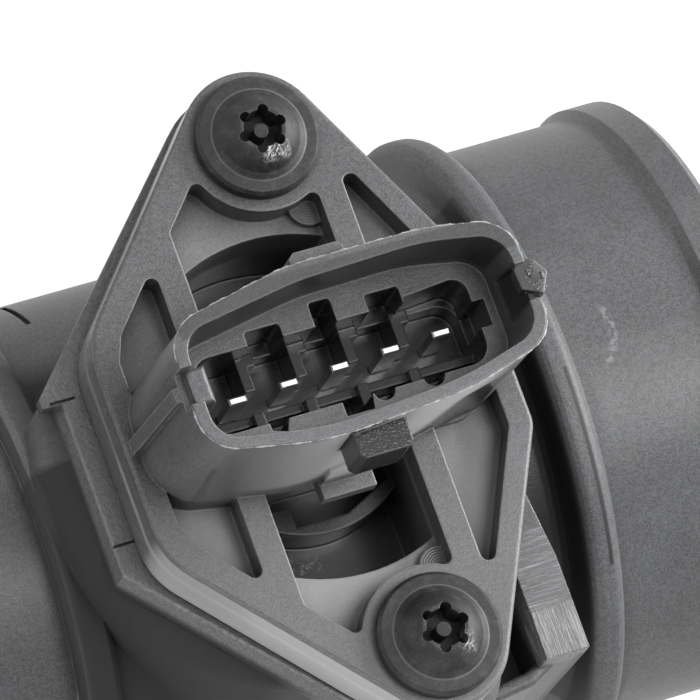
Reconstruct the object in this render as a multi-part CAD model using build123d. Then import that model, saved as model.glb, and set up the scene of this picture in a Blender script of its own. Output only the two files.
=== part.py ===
from build123d import *
import math
import os

# Hot-film mass airflow meter, millimetres.
# The origin is the centre of the inlet end face, on the axis of the measuring tube.
# +X runs along the tube from the inlet to the beaded outlet.
# +Z leaves the sensor flange, +Y points to the upper screw.

# Measuring tube, positions along X
SCREW_X = 60.0
RING_W = 2.6
COLLAR_W = 2.9
SPIGOT_L = 11.9
BEAD_W = 4.1
INLET_RING_X0 = SCREW_X - 22.2
INLET_RING_X1 = INLET_RING_X0 + RING_W
COLLAR_X0 = SCREW_X + 17.4
COLLAR_X1 = COLLAR_X0 + COLLAR_W
BEAD_X0 = COLLAR_X1 + SPIGOT_L
OUTLET_X = BEAD_X0 + BEAD_W

# Measuring tube, radii and walls
BARREL_R = 20.8
INLET_STEP = 1.5
RING_H = 1.5
OUTLET_STEP = 2.2
COLLAR_H = 2.0
BEAD_H = 0.75
INLET_WALL = 1.5
SEAT_STEP = 0.8
OUTLET_WALL = 2.8
GRID_SEAT_DEPTH = 7.4
MESH_T = 0.8
INLET_R = BARREL_R - INLET_STEP
INLET_RING_R = BARREL_R + RING_H
OUTLET_R = BARREL_R + OUTLET_STEP
COLLAR_R = OUTLET_R + COLLAR_H
BEAD_R = OUTLET_R + BEAD_H
GRID_SEAT_R = INLET_R - INLET_WALL
DUCT_R = GRID_SEAT_R - SEAT_STEP
OUTLET_DUCT_R = OUTLET_R - OUTLET_WALL

# Sensor plug: flange, pad and bore
FLANGE_Z = 32.6
FLANGE_T = 5.8
PAD_Z = FLANGE_Z - FLANGE_T
SENSOR_X = SCREW_X - 2.4
SCREW_Y = 20.0
BOSS_R = 5.5
LEDGE_T = 1.4
LEDGE_GROW = 0.3
LEDGE_SLOPE_W = 1.0
LEDGE_SLOPE_H = 1.2
LEDGE_END_X = SCREW_X - 19.15
TURRET_R = 19.8
TURRET_ROUND = 3.0
TURRET_Z = PAD_Z - 1.2
BORE_R = 14.6
BORE_CLEARANCE = 0.35
LEAD_IN = 0.3
SEAL_COLLAR_R = BORE_R - BORE_CLEARANCE
SEAL_COLLAR_BOTTOM = 16.4
SEAL_GROOVE_DEPTH = 1.2
SEAL_GROOVE_Z = SEAL_COLLAR_BOTTOM + 1.0
SEAL_GROOVE_H = 2.2
SEAL_GROOVE_R = SEAL_COLLAR_R - SEAL_GROOVE_DEPTH
RING_GAP = 0.3

# Flange pockets
POCKET_DEPTH = 2.5
FOOT_H = 0.35
EJECTOR_R = 1.6
EJECTOR_H = 0.7
COLLAR_WALL = 0.85
WELL_R = SEAL_COLLAR_R - COLLAR_WALL
PLUG_R = 8.7
PLUG_Z = FLANGE_Z - 7.0
LOWER_WELL_Z = FLANGE_Z - 10.6
UPPER_WELL_Z = FLANGE_Z - 12.2

# Connector socket
RIM_Z = FLANGE_Z + 13.4
LEDGE_Z = FLANGE_Z + 8.0
SOCKET_FLOOR_Z = FLANGE_Z + 1.6
PARTITION_Z = FLANGE_Z + 5.0

# Terminals
TERMINALS = 5
TERMINAL_PITCH = 4.1
TERMINAL_MID_X = SCREW_X - 1.8
TERMINAL_MID_Y = 0.12
TERMINAL_LEAN = 0.17
TERMINAL_W = 1.4
TERMINAL_T = 0.6
TERMINAL_TIP_Z = FLANGE_Z + 6.1
TERMINAL_END_Z = 14.6

# Measuring arm
ARM_X0 = SENSOR_X - 11.0
ARM_X1 = SENSOR_X + 11.0
ARM_T = 12.0
ARM_BOTTOM_Z = -8.5
COVER_T = 1.0
COVER_EDGE = 0.8
COVER_REST = 0.5
CHAMBER_Z0 = 6.6
CHAMBER_Z1 = SEAL_COLLAR_BOTTOM - 0.6
CHAMBER_WALL = 1.6
CHANNEL_Z1 = CHAMBER_Z0 - 1.8
CHANNEL_Z0 = ARM_BOTTOM_Z + 1.2
GUIDE_Z1 = CHANNEL_Z1 - 6.2
GUIDE_T = 1.8
LEAD_Y = -3.0
LEAD_Z = 3.8
LEAD_L = 3.4
BEAD_L = 2.2
BACK_Y = 0.0

# Electronics
PLATE_T = 0.8
BOARD_T = 0.7
CHIP_T = 1.2
CARRIER_T = 1.4
WINDOW_T = 0.5
WINDOW_Z = CHANNEL_Z1 - 4.7
BOARD_MARGIN = 0.8

# Screws
HEAD_R = 4.7
HEAD_COLLAR_T = 1.2
DOME_R = 3.1
DOME_H = 1.5
LOBE_R = 1.93
PIN_R = 0.56
SOCKET_DEPTH = 2.5
THREAD_R = 1.95
SCREW_LENGTH = 13.0
SCREW_HOLE_GAP = 0.3


def box(x0, x1, y0, y1, z0, z1):
    """A block between two corners."""
    return Pos((x0 + x1) / 2, (y0 + y1) / 2, (z0 + z1) / 2) * Box(x1 - x0, y1 - y0, z1 - z0)


def rod(x, y, z0, z1, r):
    """A cylinder along Z."""
    return Pos(x, y, (z0 + z1) / 2) * Cylinder(r, z1 - z0)


def prism(points, z0, z1):
    """A closed outline in X and Y, raised from z0 to z1."""
    face = make_face(Polyline(*points, close=True))
    return Pos(0, 0, z0) * extrude(face, z1 - z0, dir=(0, 0, 1))


def axis_cylinder(x0, x1, r):
    """A cylinder along the tube axis."""
    return Pos((x0 + x1) / 2, 0, 0) * Rot(0, 90, 0) * Cylinder(r, x1 - x0)


def eased(points, rounds):
    """The same corners, with those that rounds names by number eased by short flats to that radius."""
    result = []
    for i, place in enumerate(points):
        if i not in rounds:
            result.append(place)
            continue
        corner = Vector(*place)
        back = (Vector(*points[i - 1]) - corner).normalized()
        onward = (Vector(*points[i + 1]) - corner).normalized()
        half = math.radians(back.get_angle(onward)) / 2
        centre = corner + (back + onward).normalized() * (rounds[i] / math.sin(half))
        reach = rounds[i] / math.tan(half)
        first = corner + back * reach - centre
        last = corner + onward * reach - centre
        for k in range(6):
            spot = centre + (first * (5 - k) + last * k).normalized() * rounds[i]
            result.append((spot.X, spot.Y))
    return result


def turned(points):
    """A profile of (x, radius) corners turned about the tube axis."""
    corners = [(x, 0, r) for x, r in points]
    outline = [(points[0][0], 0, 0)] + corners + [(points[-1][0], 0, 0)]
    return revolve(make_face(Polyline(*outline, close=True)), Axis.X, 360)


def hull(circles):
    """The outline round a list of (x, y, radius) circles taken anticlockwise."""
    edges = []
    count = len(circles)
    ends = []
    for i in range(count):
        x0, y0, r0 = circles[i]
        x1, y1, r1 = circles[(i + 1) % count]
        length = math.hypot(x1 - x0, y1 - y0)
        along = math.atan2(y1 - y0, x1 - x0)
        turn = along - math.acos((r0 - r1) / length)
        start = (x0 + r0 * math.cos(turn), y0 + r0 * math.sin(turn))
        stop = (x1 + r1 * math.cos(turn), y1 + r1 * math.sin(turn))
        ends.append((start, stop, turn))
    for i in range(count):
        start, stop, turn = ends[i]
        next_start, _, next_turn = ends[(i + 1) % count]
        x, y, r = circles[(i + 1) % count]
        middle = (turn + (next_turn - turn) % (2 * math.pi) / 2)
        edges.append(Line(start, stop))
        edges.append(ThreePointArc(stop, (x + r * math.cos(middle), y + r * math.sin(middle)), next_start))
    return make_face(Wire(edges))


def raised(face, z0, z1):
    """A face in X and Y raised from z0 to z1."""
    return Pos(0, 0, z0) * extrude(face, z1 - z0, dir=(0, 0, 1))


def flange_circles(grow):
    """The flange outline: two screw bosses, two wide inlet corners and two outlet corners."""
    x = SCREW_X
    return [
        (x, -SCREW_Y, BOSS_R + grow),
        (x + 10.35, -5.96, 2.5 + grow),
        (x + 10.35, 5.96, 2.5 + grow),
        (x, SCREW_Y, BOSS_R + grow),
        (x - 11.65, 6.2, 6.0 + grow),
        (x - 11.65, -6.2, 6.0 + grow),
    ]


def outline(corners, z):
    """A closed outline at height z from (x, y, radius) corners, x counted from the screws' line."""
    places = [(SCREW_X + x, y, z) for x, y, _ in corners]
    face = make_face(Polyline(*places, close=True))
    for place, (_, _, radius) in zip(places, corners):
        near = face.vertices().sort_by_distance(place)[0]
        face = fillet(near, radius)
    return face


# Housing tube


def tube_skin():
    """The outside of the tube: spigots, rings, collar and bead."""
    nip = 0.3 * RING_H
    profile = [
        (0.0, INLET_R),
        (INLET_RING_X0, INLET_R),
        (INLET_RING_X0, INLET_RING_R - nip),
        (INLET_RING_X0 + nip, INLET_RING_R),
        (INLET_RING_X1 - nip, INLET_RING_R),
        (INLET_RING_X1, INLET_RING_R - nip),
        (INLET_RING_X1, BARREL_R),
        (COLLAR_X0, BARREL_R),
        (COLLAR_X0, COLLAR_R),
        (COLLAR_X1, COLLAR_R),
        (COLLAR_X1, OUTLET_R + 0.2 * COLLAR_H),
        (COLLAR_X1 + 0.2 * COLLAR_H, OUTLET_R),
        (BEAD_X0, OUTLET_R),
    ]
    crown = min(0.38 * COLLAR_W, 0.55 * COLLAR_H)
    rounds = {7: 1.4, 8: crown, 9: crown}
    bead = [(BEAD_X0 + BEAD_H, BEAD_R), (OUTLET_X - BEAD_H, BEAD_R), (OUTLET_X, BEAD_R - BEAD_H)]
    return turned(eased(profile, rounds) + bead)


def tube_duct():
    """The air passage: seat of the flow grid, plain duct and wider outlet."""
    profile = [
        (0.0, GRID_SEAT_R),
        (GRID_SEAT_DEPTH, GRID_SEAT_R),
        (GRID_SEAT_DEPTH, DUCT_R),
        (COLLAR_X0, DUCT_R),
        (COLLAR_X0 + 2.2 * (OUTLET_DUCT_R - DUCT_R), OUTLET_DUCT_R),
        (OUTLET_X, OUTLET_DUCT_R),
    ]
    return turned(profile)


def ledge_outline(out):
    """The ledge outline; out moves its lower inlet side outwards."""
    x = SCREW_X
    circles = flange_circles(LEDGE_GROW)[:4]
    circles[0] = (x, -SCREW_Y, BOSS_R + out)
    return hull(circles + [(x - 20.55, 6.75, 0.25), (x - 19.4 - 0.6 * out, -7.0 - 0.6 * out, 0.25)])


def ledge():
    """The thin ledge under the flange, sloped on the lower inlet side, pointed at the upper inlet corner."""
    slope_z = PAD_Z - LEDGE_SLOPE_H
    plate = raised(ledge_outline(LEDGE_SLOPE_W), PAD_Z - LEDGE_T, slope_z)
    foot = Pos(0, 0, slope_z) * ledge_outline(LEDGE_SLOPE_W)
    plate = plate + loft([foot, Pos(0, 0, PAD_Z) * ledge_outline(0.0)])
    end = LEDGE_END_X
    slope = Polyline((end, -9.0, PAD_Z + 1), (end, -9.0, PAD_Z), (end - 0.7, -9.0, slope_z),
                     (end - 0.7, -9.0, PAD_Z - 3), (end - 6, -9.0, PAD_Z - 3), (end - 6, -9.0, PAD_Z + 1), close=True)
    plate = plate - extrude(make_face(slope), 15.1, dir=(0, 1, 0))
    for y0, x1 in ((-5.55, end + 1.7), (6.15, end + 1.0)):
        plate = plate - box(end - 1, x1, y0, y0 + 0.22, PAD_Z - 0.25, PAD_Z + 1)
    return plate


def turret():
    """The round shoulder under the ledge with the deep bosses that the screws cut their threads in."""
    x = SCREW_X
    body = rod(SENSOR_X, 0, 8.0, TURRET_Z, TURRET_R)
    body = fillet(body.faces().sort_by(Axis.Z)[-1].edges(), TURRET_ROUND)
    for side, radius in ((-1, BOSS_R + 0.55), (1, BOSS_R - 0.8)):
        ends = sorted((0, side * SCREW_Y))
        body = body + rod(x, side * SCREW_Y, PAD_Z - 13.0, PAD_Z - 1.0, radius)
        body = body + box(x - 2.0, x + 2.0, ends[0], ends[1], 6.0, PAD_Z - 9.0)
    corner = [(x - 30, 6.2), (x - 21.1, 6.2), (x - 4.2, 22.2), (x - 4.2, 30), (x - 30, 30)]
    return body - prism(corner, 6.0, PAD_Z) - box(x + 12.75, x + 30, -30, 30, 6.0, PAD_Z)


def fin():
    """The milled fin beside the lower screw, the end wall that curls back to the boss, and its floor."""
    x = SCREW_X
    wall = prism([(x + 9.3, -22.83), (x + 12.75, -22.83), (x + 12.75, -15.5), (x + 12.1, -9.3),
                  (x + 12.1, 9.0), (x + 9.3, 9.0)], 6.0, PAD_Z)
    lip = prism([(x + 4.6, -24.4), (x + 8.6, -23.9), (x + 10.6, -22.9), (x + 10.2, -21.9), (x + 8.2, -22.8),
                 (x + 4.6, -23.2)], PAD_Z - 12.0, PAD_Z - 2.6)
    lip = fillet(lip.faces().sort_by(Axis.Z)[-1].edges(), 0.45)
    floor = prism([(x + 2.0, -17.0), (x + 5.2, -24.0), (x + 9.6, -22.6), (x + 9.6, -12.0)],
                  PAD_Z - 10.0, PAD_Z - 7.4)
    return wall + lip + floor


def housing_tube():
    """The one-piece housing: tube, pad, turret, bosses and fin, with the sensor bore."""
    body = tube_skin() + ledge() + turret() + fin() - tube_duct()
    body = body - rod(SENSOR_X, 0, 0.0, PAD_Z + 1, BORE_R)
    lead_in = Pos(SENSOR_X, 0, PAD_Z - LEAD_IN / 2) * Cone(BORE_R - 0.01, BORE_R + LEAD_IN, LEAD_IN + 0.01)
    body = body - lead_in
    for side in (-1, 1):
        body = body - rod(SCREW_X, side * SCREW_Y, PAD_Z - 10.5, PAD_Z + 1, THREAD_R + SCREW_HOLE_GAP)
    slit = axis_cylinder(SCREW_X - 16.0, SCREW_X - 15.5, BARREL_R + 2)
    slit = slit - axis_cylinder(SCREW_X - 16.2, SCREW_X - 15.3, BARREL_R - 0.5)
    slit = slit & box(SCREW_X - 17, SCREW_X - 15, 16.2, 19.4, 0, 30)
    return body - slit


# Sensor body


def pocket_outline(side):
    """Outlines of the six flange pockets: inlet, middle and outlet on each side of the sensor."""
    x = SCREW_X
    inlet = [(x - 15.7, 3.0), (x - 15.7, 6.4), (x - 14.9, 8.4), (x - 10.8, 12.9), (x - 10.8, 3.0)]
    outlet = [(x + 5.3, 2.0), (x + 5.3, 15.6), (x + 6.3, 15.6), (x + 10.9, 6.2), (x + 10.9, 2.0)]
    middle = [(x - 8.7, 0.0), (x - 8.7, 14.9), (x - 4.6, 19.4), (x + 3.2, 16.4), (x + 3.2, 0.0)]
    shapes = []
    for points in (inlet, outlet, middle):
        shapes.append([(px, side * py) for px, py in points])
    return shapes


def rounded_prism(points, z0, z1, radius):
    """A raised outline whose upright edges are rounded."""
    solid = prism(points, z0, z1)
    return fillet(solid.edges().filter_by(Axis.Z), radius)


def flange():
    """The ribbed flange with six pockets, the wells inside it and the ejector pads."""
    plate = raised(hull(flange_circles(0.0)), PAD_Z + FOOT_H, FLANGE_Z)
    plate = fillet(plate.faces().sort_by(Axis.Z)[-1].edges(), 0.35)
    plate = plate + raised(hull(flange_circles(-FOOT_H)), PAD_Z, PAD_Z + FOOT_H)
    floor = FLANGE_Z - POCKET_DEPTH
    for side in (-1, 1):
        boss = rod(SCREW_X, side * SCREW_Y, PAD_Z - 1, FLANGE_Z + 1, BOSS_R + 0.1)
        inlet, outlet, middle = pocket_outline(side)
        for points in (inlet, outlet):
            plate = plate - rounded_prism(points, floor, FLANGE_Z + 1, 0.6)
        recess = prism(middle, floor, FLANGE_Z + 1) - boss
        corners = [e for e in recess.edges().filter_by(Axis.Z) if abs(e.center().Y) > 1]
        recess = fillet(corners, 0.6)
        plate = plate - recess
        pad = rod(SCREW_X + 2.7, side * 14.6, floor - 0.5, floor + EJECTOR_H, EJECTOR_R)
        plate = plate + (pad & recess)
    return plate


def well():
    """The two ring-shaped wells between the seal collar and the central plug."""
    wells = None
    for side, floor in ((-1, LOWER_WELL_Z), (1, UPPER_WELL_Z)):
        ring = rod(SENSOR_X, 0, floor, FLANGE_Z + 1, WELL_R)
        ring = ring - rod(SENSOR_X, 0, floor - 1, FLANGE_Z + 2, PLUG_R)
        ends = sorted((0, side * 15))
        ring = ring & box(SCREW_X - 8.7, SCREW_X + 3.2, ends[0], ends[1], floor, FLANGE_Z + 1)
        wells = ring if wells is None else wells + ring
    return wells


def plug_top():
    """What is cut away above the central plug, and the stepped recess in its top."""
    x = SCREW_X
    above = rod(SENSOR_X, 0, PLUG_Z, FLANGE_Z + 1, PLUG_R + 0.01)
    above = above & box(x - 8.7, x + 3.2, -10, 10, PLUG_Z, FLANGE_Z + 1)
    cut = []
    for side in (-1, 1):
        points = [(x - 8.0, 3.6), (x - 8.0, 6.1), (x - 5.15, 6.1), (x - 5.15, 7.7), (x - 0.95, 7.7),
                  (x + 2.9, 5.9), (x + 2.9, 3.6)]
        cut.append(prism([(px, side * py) for px, py in points], PLUG_Z - 4.0, PLUG_Z + 1))
    return above, cut


def shroud_skin():
    """The outside of the connector shroud; it widens from the rim to the foot at the inlet end."""
    rim = [(-15.6, -4.9, 3.0), (-6.8, -6.65, 22.0), (4.6, -5.85, 24.0), (12.15, -3.75, 3.0),
           (11.65, 5.5, 3.0), (5.5, 6.6, 22.0), (-5.5, 6.6, 16.0), (-15.45, 4.55, 3.2)]
    foot = [(-16.7, -4.6, 4.0), (-6.5, -6.5, 14.0), (1.5, -5.3, 14.0), (11.8, -3.4, 2.8),
            (11.8, 4.7, 2.8), (5.0, 6.0, 14.0), (-6.5, 6.5, 14.0), (-16.7, 4.6, 4.0)]
    return loft([outline(foot, FLANGE_Z - POCKET_DEPTH), outline(rim, RIM_Z)])


def socket_hollow():
    """The wide mouth of the socket down to the castellated ledge."""
    rim = [(-14.6, -4.4, 2.2), (-6.2, -5.75, 20.0), (4.5, -4.95, 22.0), (11.25, -3.1, 2.4),
           (10.95, 4.5, 2.4), (5.0, 5.6, 20.0), (-5.0, 5.3, 16.0), (-14.6, 3.8, 2.2)]
    step = [(-14.2, -4.3, 2.2), (-6.2, -5.6, 20.0), (4.0, -4.9, 22.0), (10.4, -3.2, 2.2),
            (10.35, 4.5, 2.2), (4.5, 5.65, 16.0), (-4.0, 5.5, 16.0), (-14.2, 3.75, 2.2)]
    return loft([outline(step, LEDGE_Z), outline(rim, RIM_Z + 0.01)])


def socket_cavity():
    """The inner cavity with its keying notches."""
    x = SCREW_X
    top = LEDGE_Z + 0.5
    foot = SOCKET_FLOOR_Z + 2
    cavity = rounded_prism([(x - 13.2, -3.0), (x + 8.8, -3.0), (x + 8.8, 3.0), (x - 13.2, 3.0)],
                           SOCKET_FLOOR_Z, top, 1.6)
    bulge = prism([(x + 3.9, 0.0), (x + 8.8, 0.0), (x + 8.8, 3.75), (x + 3.9, 3.35)], foot, top)
    corner = [e for e in bulge.edges().filter_by(Axis.Z) if e.center().Y > 3.5]
    cavity = cavity + fillet(corner, 1.2)
    for x0, x1, y1 in ((-8.5, -5.7, 4.05), (-3.15, -1.45, 4.85), (1.1, 3.8, 4.3)):
        notch = [(x + x0, 2.5), (x + x1, 2.5), (x + x1, y1), (x + x0, y1)]
        cavity = cavity + rounded_prism(notch, foot, top, 0.3)
    cavity = cavity + box(x + 8.0, x + 9.7, -0.5, 1.6, foot, top)
    cavity = cavity + prism([(x - 9.0, -2.5), (x - 8.9, -3.6), (x - 7.8, -3.95), (x - 7.2, -2.5)], foot, top)
    cavity = cavity + prism([(x - 3.2, -2.5), (x - 3.2, -4.1), (x - 1.0, -4.1), (x - 0.7, -2.5)], foot, top)
    for notch_x in (0.15, 4.1):
        cavity = cavity + rod(x + notch_x, -2.9, foot, top, 0.85)
    return cavity


def terminal_step(i):
    """How many pitches a terminal stands from the middle one."""
    return i - (TERMINALS - 1) / 2


def partitions():
    """The walls between the terminals and the lower wall in front of them."""
    walls = box(SCREW_X - 13.3, SCREW_X + 8.9, -1.9, -1.2, SOCKET_FLOOR_Z - 0.5, PARTITION_Z - 1.0)
    for i in range(TERMINALS - 1):
        x = SENSOR_X + TERMINAL_PITCH * (terminal_step(i) + 0.5)
        for y0, y1 in ((-3.2, -1.3), (0.4, 3.2)):
            walls = walls + box(x - 0.4, x + 0.4, y0, y1, SOCKET_FLOOR_Z - 0.5, PARTITION_Z)
        walls = walls + box(x - 0.4, x + 1.0, 2.2, 3.2, SOCKET_FLOOR_Z - 0.5, PARTITION_Z)
    return walls


def latch_lugs():
    """The two latch noses, the inlet end rib, and the tab and pad at the shroud's foot."""
    x = SCREW_X
    lugs = box(x - 4.5, x - 0.3, -7.75, -4.5, FLANGE_Z - 1.3, FLANGE_Z)
    lugs = lugs + box(x - 4.3, x - 1.4, -6.65, -4.5, FLANGE_Z - 1.0, FLANGE_Z + 2.8)
    for side, reach in ((-1, 8.5), (1, 7.65)):
        ends = sorted((side * 5.6, side * reach))
        nose = box(x - 4.7, x - 0.5, ends[0], ends[1], RIM_Z - 5.0, RIM_Z - 1.0)
        outer = [e for e in nose.edges().filter_by(Axis.Z) if abs(e.center().Y) > 7]
        lugs = lugs + chamfer(outer, 0.4)
    rib = Polyline((x - 14.6, 0, RIM_Z - 1.6), (x - 16.1, 0, RIM_Z - 1.8), (x - 17.1, 0, FLANGE_Z),
                   (x - 14.6, 0, FLANGE_Z), close=True)
    return lugs + extrude(make_face(rib), 0.55, both=True)


def notch_lug():
    """The rounded lug that bridges the inner half of the inlet-end notch."""
    x = SCREW_X
    lug = box(x - 14.95, x - 13.4, -1.35, 1.5, RIM_Z - 4.0, RIM_Z - 1.0)
    round_top = [e for e in lug.faces().sort_by(Axis.Z)[-1].edges() if e.center().X > x - 14.5]
    return fillet(round_top, 0.45)


def seal_collar():
    """The round collar that plugs the bore of the pad, grooved for the seal ring."""
    collar = rod(SENSOR_X, 0, SEAL_COLLAR_BOTTOM, PAD_Z + 0.5, SEAL_COLLAR_R)
    collar = chamfer(collar.faces().sort_by(Axis.Z)[0].edges(), 0.6)
    top = SEAL_GROOVE_Z + SEAL_GROOVE_H
    groove = rod(SENSOR_X, 0, SEAL_GROOVE_Z, top, SEAL_COLLAR_R + 1)
    return collar - (groove - rod(SENSOR_X, 0, SEAL_GROOVE_Z - 1, top + 1, SEAL_GROOVE_R))


def measuring_arm():
    """The arm in the air stream with the electronics chamber and the bent measuring channel."""
    half = ARM_T / 2
    arm = box(ARM_X0, ARM_X1, -half, half, ARM_BOTTOM_Z, SEAL_COLLAR_BOTTOM + 1)
    nose = arm.edges().filter_by(Axis.Z)
    arm = fillet(nose, 2.2)
    x0 = ARM_X0 + CHAMBER_WALL
    x1 = ARM_X1 - CHAMBER_WALL
    face_y = half - COVER_T
    arm = arm - box(x0, x1, BACK_Y, half + 1, CHAMBER_Z0, CHAMBER_Z1)
    seat_x0 = x0 - COVER_EDGE
    seat_x1 = x1 + COVER_EDGE
    arm = arm - box(seat_x0, seat_x1, face_y, half + 1, CHAMBER_Z0 - COVER_EDGE, CHAMBER_Z1 + COVER_REST)
    arm = arm - box(x0, x1, BACK_Y, half + 1, CHANNEL_Z0, CHANNEL_Z1)
    arm = arm - box(seat_x0, seat_x1, face_y, half + 1, CHANNEL_Z0 - COVER_REST, CHANNEL_Z1 + COVER_REST)
    guide = box(SENSOR_X - 4.4, SENSOR_X + 5.0, BACK_Y, face_y, GUIDE_Z1 - GUIDE_T, GUIDE_Z1)
    turn = Rot(90, 0, 0) * Cylinder(GUIDE_T / 2, face_y - BACK_Y)
    guide = guide + Pos(SENSOR_X + 5.0, (BACK_Y + face_y) / 2, GUIDE_Z1 - GUIDE_T / 2) * turn
    arm = arm + guide
    mouth_z0 = CHANNEL_Z1 - 4.6
    return arm - box(ARM_X0 - 1, x0 + 0.1, BACK_Y + 0.6, face_y - 0.6, mouth_z0, CHANNEL_Z1 - 0.6)


def socket_keyways():
    """The notch through the rim at the inlet end and the blind, sloping notch at the outlet end."""
    x = SCREW_X
    left = box(x - 17.5, x - 13.0, -1.35, 1.45, RIM_Z - 1.7, RIM_Z + 1)
    slope = Polyline((x + 10.3, -0.85, RIM_Z + 1), (x + 11.5, -0.85, RIM_Z + 1),
                     (x + 11.5, -0.85, RIM_Z - 1.2), (x + 10.3, -0.85, RIM_Z - 5.0), close=True)
    right = extrude(make_face(slope), 2.95, dir=(0, 1, 0))
    return left + right + box(x + 11.0, x + 13.5, -0.85, 2.1, RIM_Z - 0.9, RIM_Z + 1)


def gate_stub():
    """The broken sprue stub left beside the outlet-end notch."""
    x = SCREW_X
    stub = Polyline((x + 11.0, 0.2), (x + 12.5, -0.5), (x + 12.9, 0.3), (x + 13.3, 1.0), (x + 12.6, 2.1),
                    (x + 11.4, 2.6), (x + 10.9, 1.7), close=True)
    return Pos(0, 0, RIM_Z - 1.5) * extrude(make_face(stub), 1.2, dir=(0, 0, 1))


def carrier_slot():
    """The slot that lets the sensor carrier through to the channel, and the lead holes."""
    y0 = BACK_Y + PLATE_T
    slot = box(SENSOR_X - 2.6, SENSOR_X + 2.6, y0, y0 + CARRIER_T, CHANNEL_Z1 - 1, CHAMBER_Z0 + 1)
    for side in (-1, 1):
        slot = slot + lead_block(side)
    return slot


def lead_block(side):
    """One thermistor lead, from inside the arm to the bead."""
    y = LEAD_Y + side * 0.8
    return box(ARM_X0 - LEAD_L, ARM_X0 + 1.2, y - 0.25, y + 0.25, LEAD_Z - 0.25, LEAD_Z + 0.25)


def sensor_body():
    """Flange, shroud, seal collar and arm as one moulding, with the terminals moulded in."""
    above, recess = plug_top()
    body = flange() + seal_collar()
    body = body - well() - above
    for cut in recess:
        body = body - cut
    x = SCREW_X
    floor = FLANGE_Z - POCKET_DEPTH
    core = rounded_prism([(x - 14.0, -4.4), (x + 9.6, -4.4), (x + 9.6, 4.4), (x - 14.0, 4.4)],
                         PLUG_Z - 5, floor + 0.5, 1.5)
    core = core & rod(SENSOR_X, 0, PLUG_Z - 6, FLANGE_Z, PLUG_R + 5)
    under = box(x - 8.7, x + 3.2, -9, 9, floor - 1, FLANGE_Z - 0.4)
    under = under - box(x - 10, x + 5, -4.4, 4.4, floor - 2, FLANGE_Z)
    body = body + core + (shroud_skin() - under) + latch_lugs()
    body = body - socket_hollow() - socket_cavity() - socket_keyways()
    body = body + partitions() + notch_lug() + gate_stub() + measuring_arm()
    for i in range(TERMINALS):
        body = body - terminal_block(i)
    body = body - carrier_slot()
    for side in (-1, 1):
        body = body - rod(SCREW_X, side * SCREW_Y, PAD_Z - 1, FLANGE_Z + 1, THREAD_R + SCREW_HOLE_GAP)
    return body


# Terminals


def terminal_block(i):
    """The plain bar of one terminal."""
    x = TERMINAL_MID_X + TERMINAL_PITCH * terminal_step(i)
    y = TERMINAL_MID_Y + TERMINAL_LEAN * terminal_step(i)
    half = TERMINAL_W / 2
    return box(x - half, x + half, y - TERMINAL_T / 2, y + TERMINAL_T / 2, TERMINAL_END_Z, TERMINAL_TIP_Z)


def terminal(i):
    """One blade with a bevelled tip."""
    bar = terminal_block(i)
    tip = bar.faces().sort_by(Axis.Z)[-1].edges()
    return chamfer(tip, 0.12)


# Screws


def six_lobe(r, z0, z1):
    """A six-lobe socket of point radius r."""
    star = rod(0, 0, z0, z1, r * 0.76)
    for k in range(6):
        angle = math.radians(70 + 60 * k)
        star = star + rod(r * 0.78 * math.cos(angle), r * 0.78 * math.sin(angle), z0, z1, r * 0.22)
    return star


def screw(y):
    """A collared dome-head screw with a six-lobe socket, a centre pin and a plain thread core."""
    top = HEAD_COLLAR_T + DOME_H
    flat = LOBE_R - 0.2
    crown = ThreePointArc((DOME_R, 0, HEAD_COLLAR_T + 0.35), (0.45 * DOME_R + 0.55 * flat, 0, top - 0.35),
                          (flat, 0, top))
    sweep = Line((DOME_R + 0.55, 0, HEAD_COLLAR_T), (DOME_R, 0, HEAD_COLLAR_T + 0.35))
    lower = Polyline((flat, 0, top), (0, 0, top), (0, 0, -SCREW_LENGTH), (THREAD_R - 0.7, 0, -SCREW_LENGTH),
                     (THREAD_R, 0, -SCREW_LENGTH + 1.2), (THREAD_R, 0, 0), (HEAD_R, 0, 0),
                     (HEAD_R, 0, HEAD_COLLAR_T - 0.3), (HEAD_R - 0.25, 0, HEAD_COLLAR_T - 0.05),
                     (DOME_R + 0.55, 0, HEAD_COLLAR_T))
    body = revolve(make_face(Wire([*lower.edges(), sweep, crown])), Axis.Z, 360)
    floor = top - SOCKET_DEPTH
    socket = six_lobe(LOBE_R, floor, top + 1) - rod(0, 0, floor - 1, top - 0.6, PIN_R)
    return Pos(SCREW_X, y, FLANGE_Z) * (body - socket)


# Pieces inside the arm


def seal_ring():
    """A rubber ring with a flattened section, seated on the sides of its groove."""
    top = SEAL_GROOVE_Z + SEAL_GROOVE_H
    ring = rod(SENSOR_X, 0, SEAL_GROOVE_Z, top, BORE_R - RING_GAP)
    return ring - rod(SENSOR_X, 0, SEAL_GROOVE_Z - 1, top + 1, SEAL_GROOVE_R + RING_GAP)


def base_plate():
    """The metal carrier on the back wall of the chamber."""
    x0 = ARM_X0 + CHAMBER_WALL
    x1 = ARM_X1 - CHAMBER_WALL
    plate = box(x0 + 0.3, x1 - 0.3, BACK_Y, BACK_Y + PLATE_T, CHAMBER_Z0 + 0.3, TERMINAL_END_Z - 0.6)
    return fillet(plate.edges().filter_by(Axis.Y), 0.8)


def circuit_board():
    """The ceramic board on the carrier."""
    y0 = BACK_Y + PLATE_T
    x0 = ARM_X0 + CHAMBER_WALL + BOARD_MARGIN
    x1 = ARM_X1 - CHAMBER_WALL - BOARD_MARGIN
    return box(x0, x1, y0, y0 + BOARD_T, CHAMBER_Z0 + 2.6, TERMINAL_END_Z - 1.0)


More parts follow.
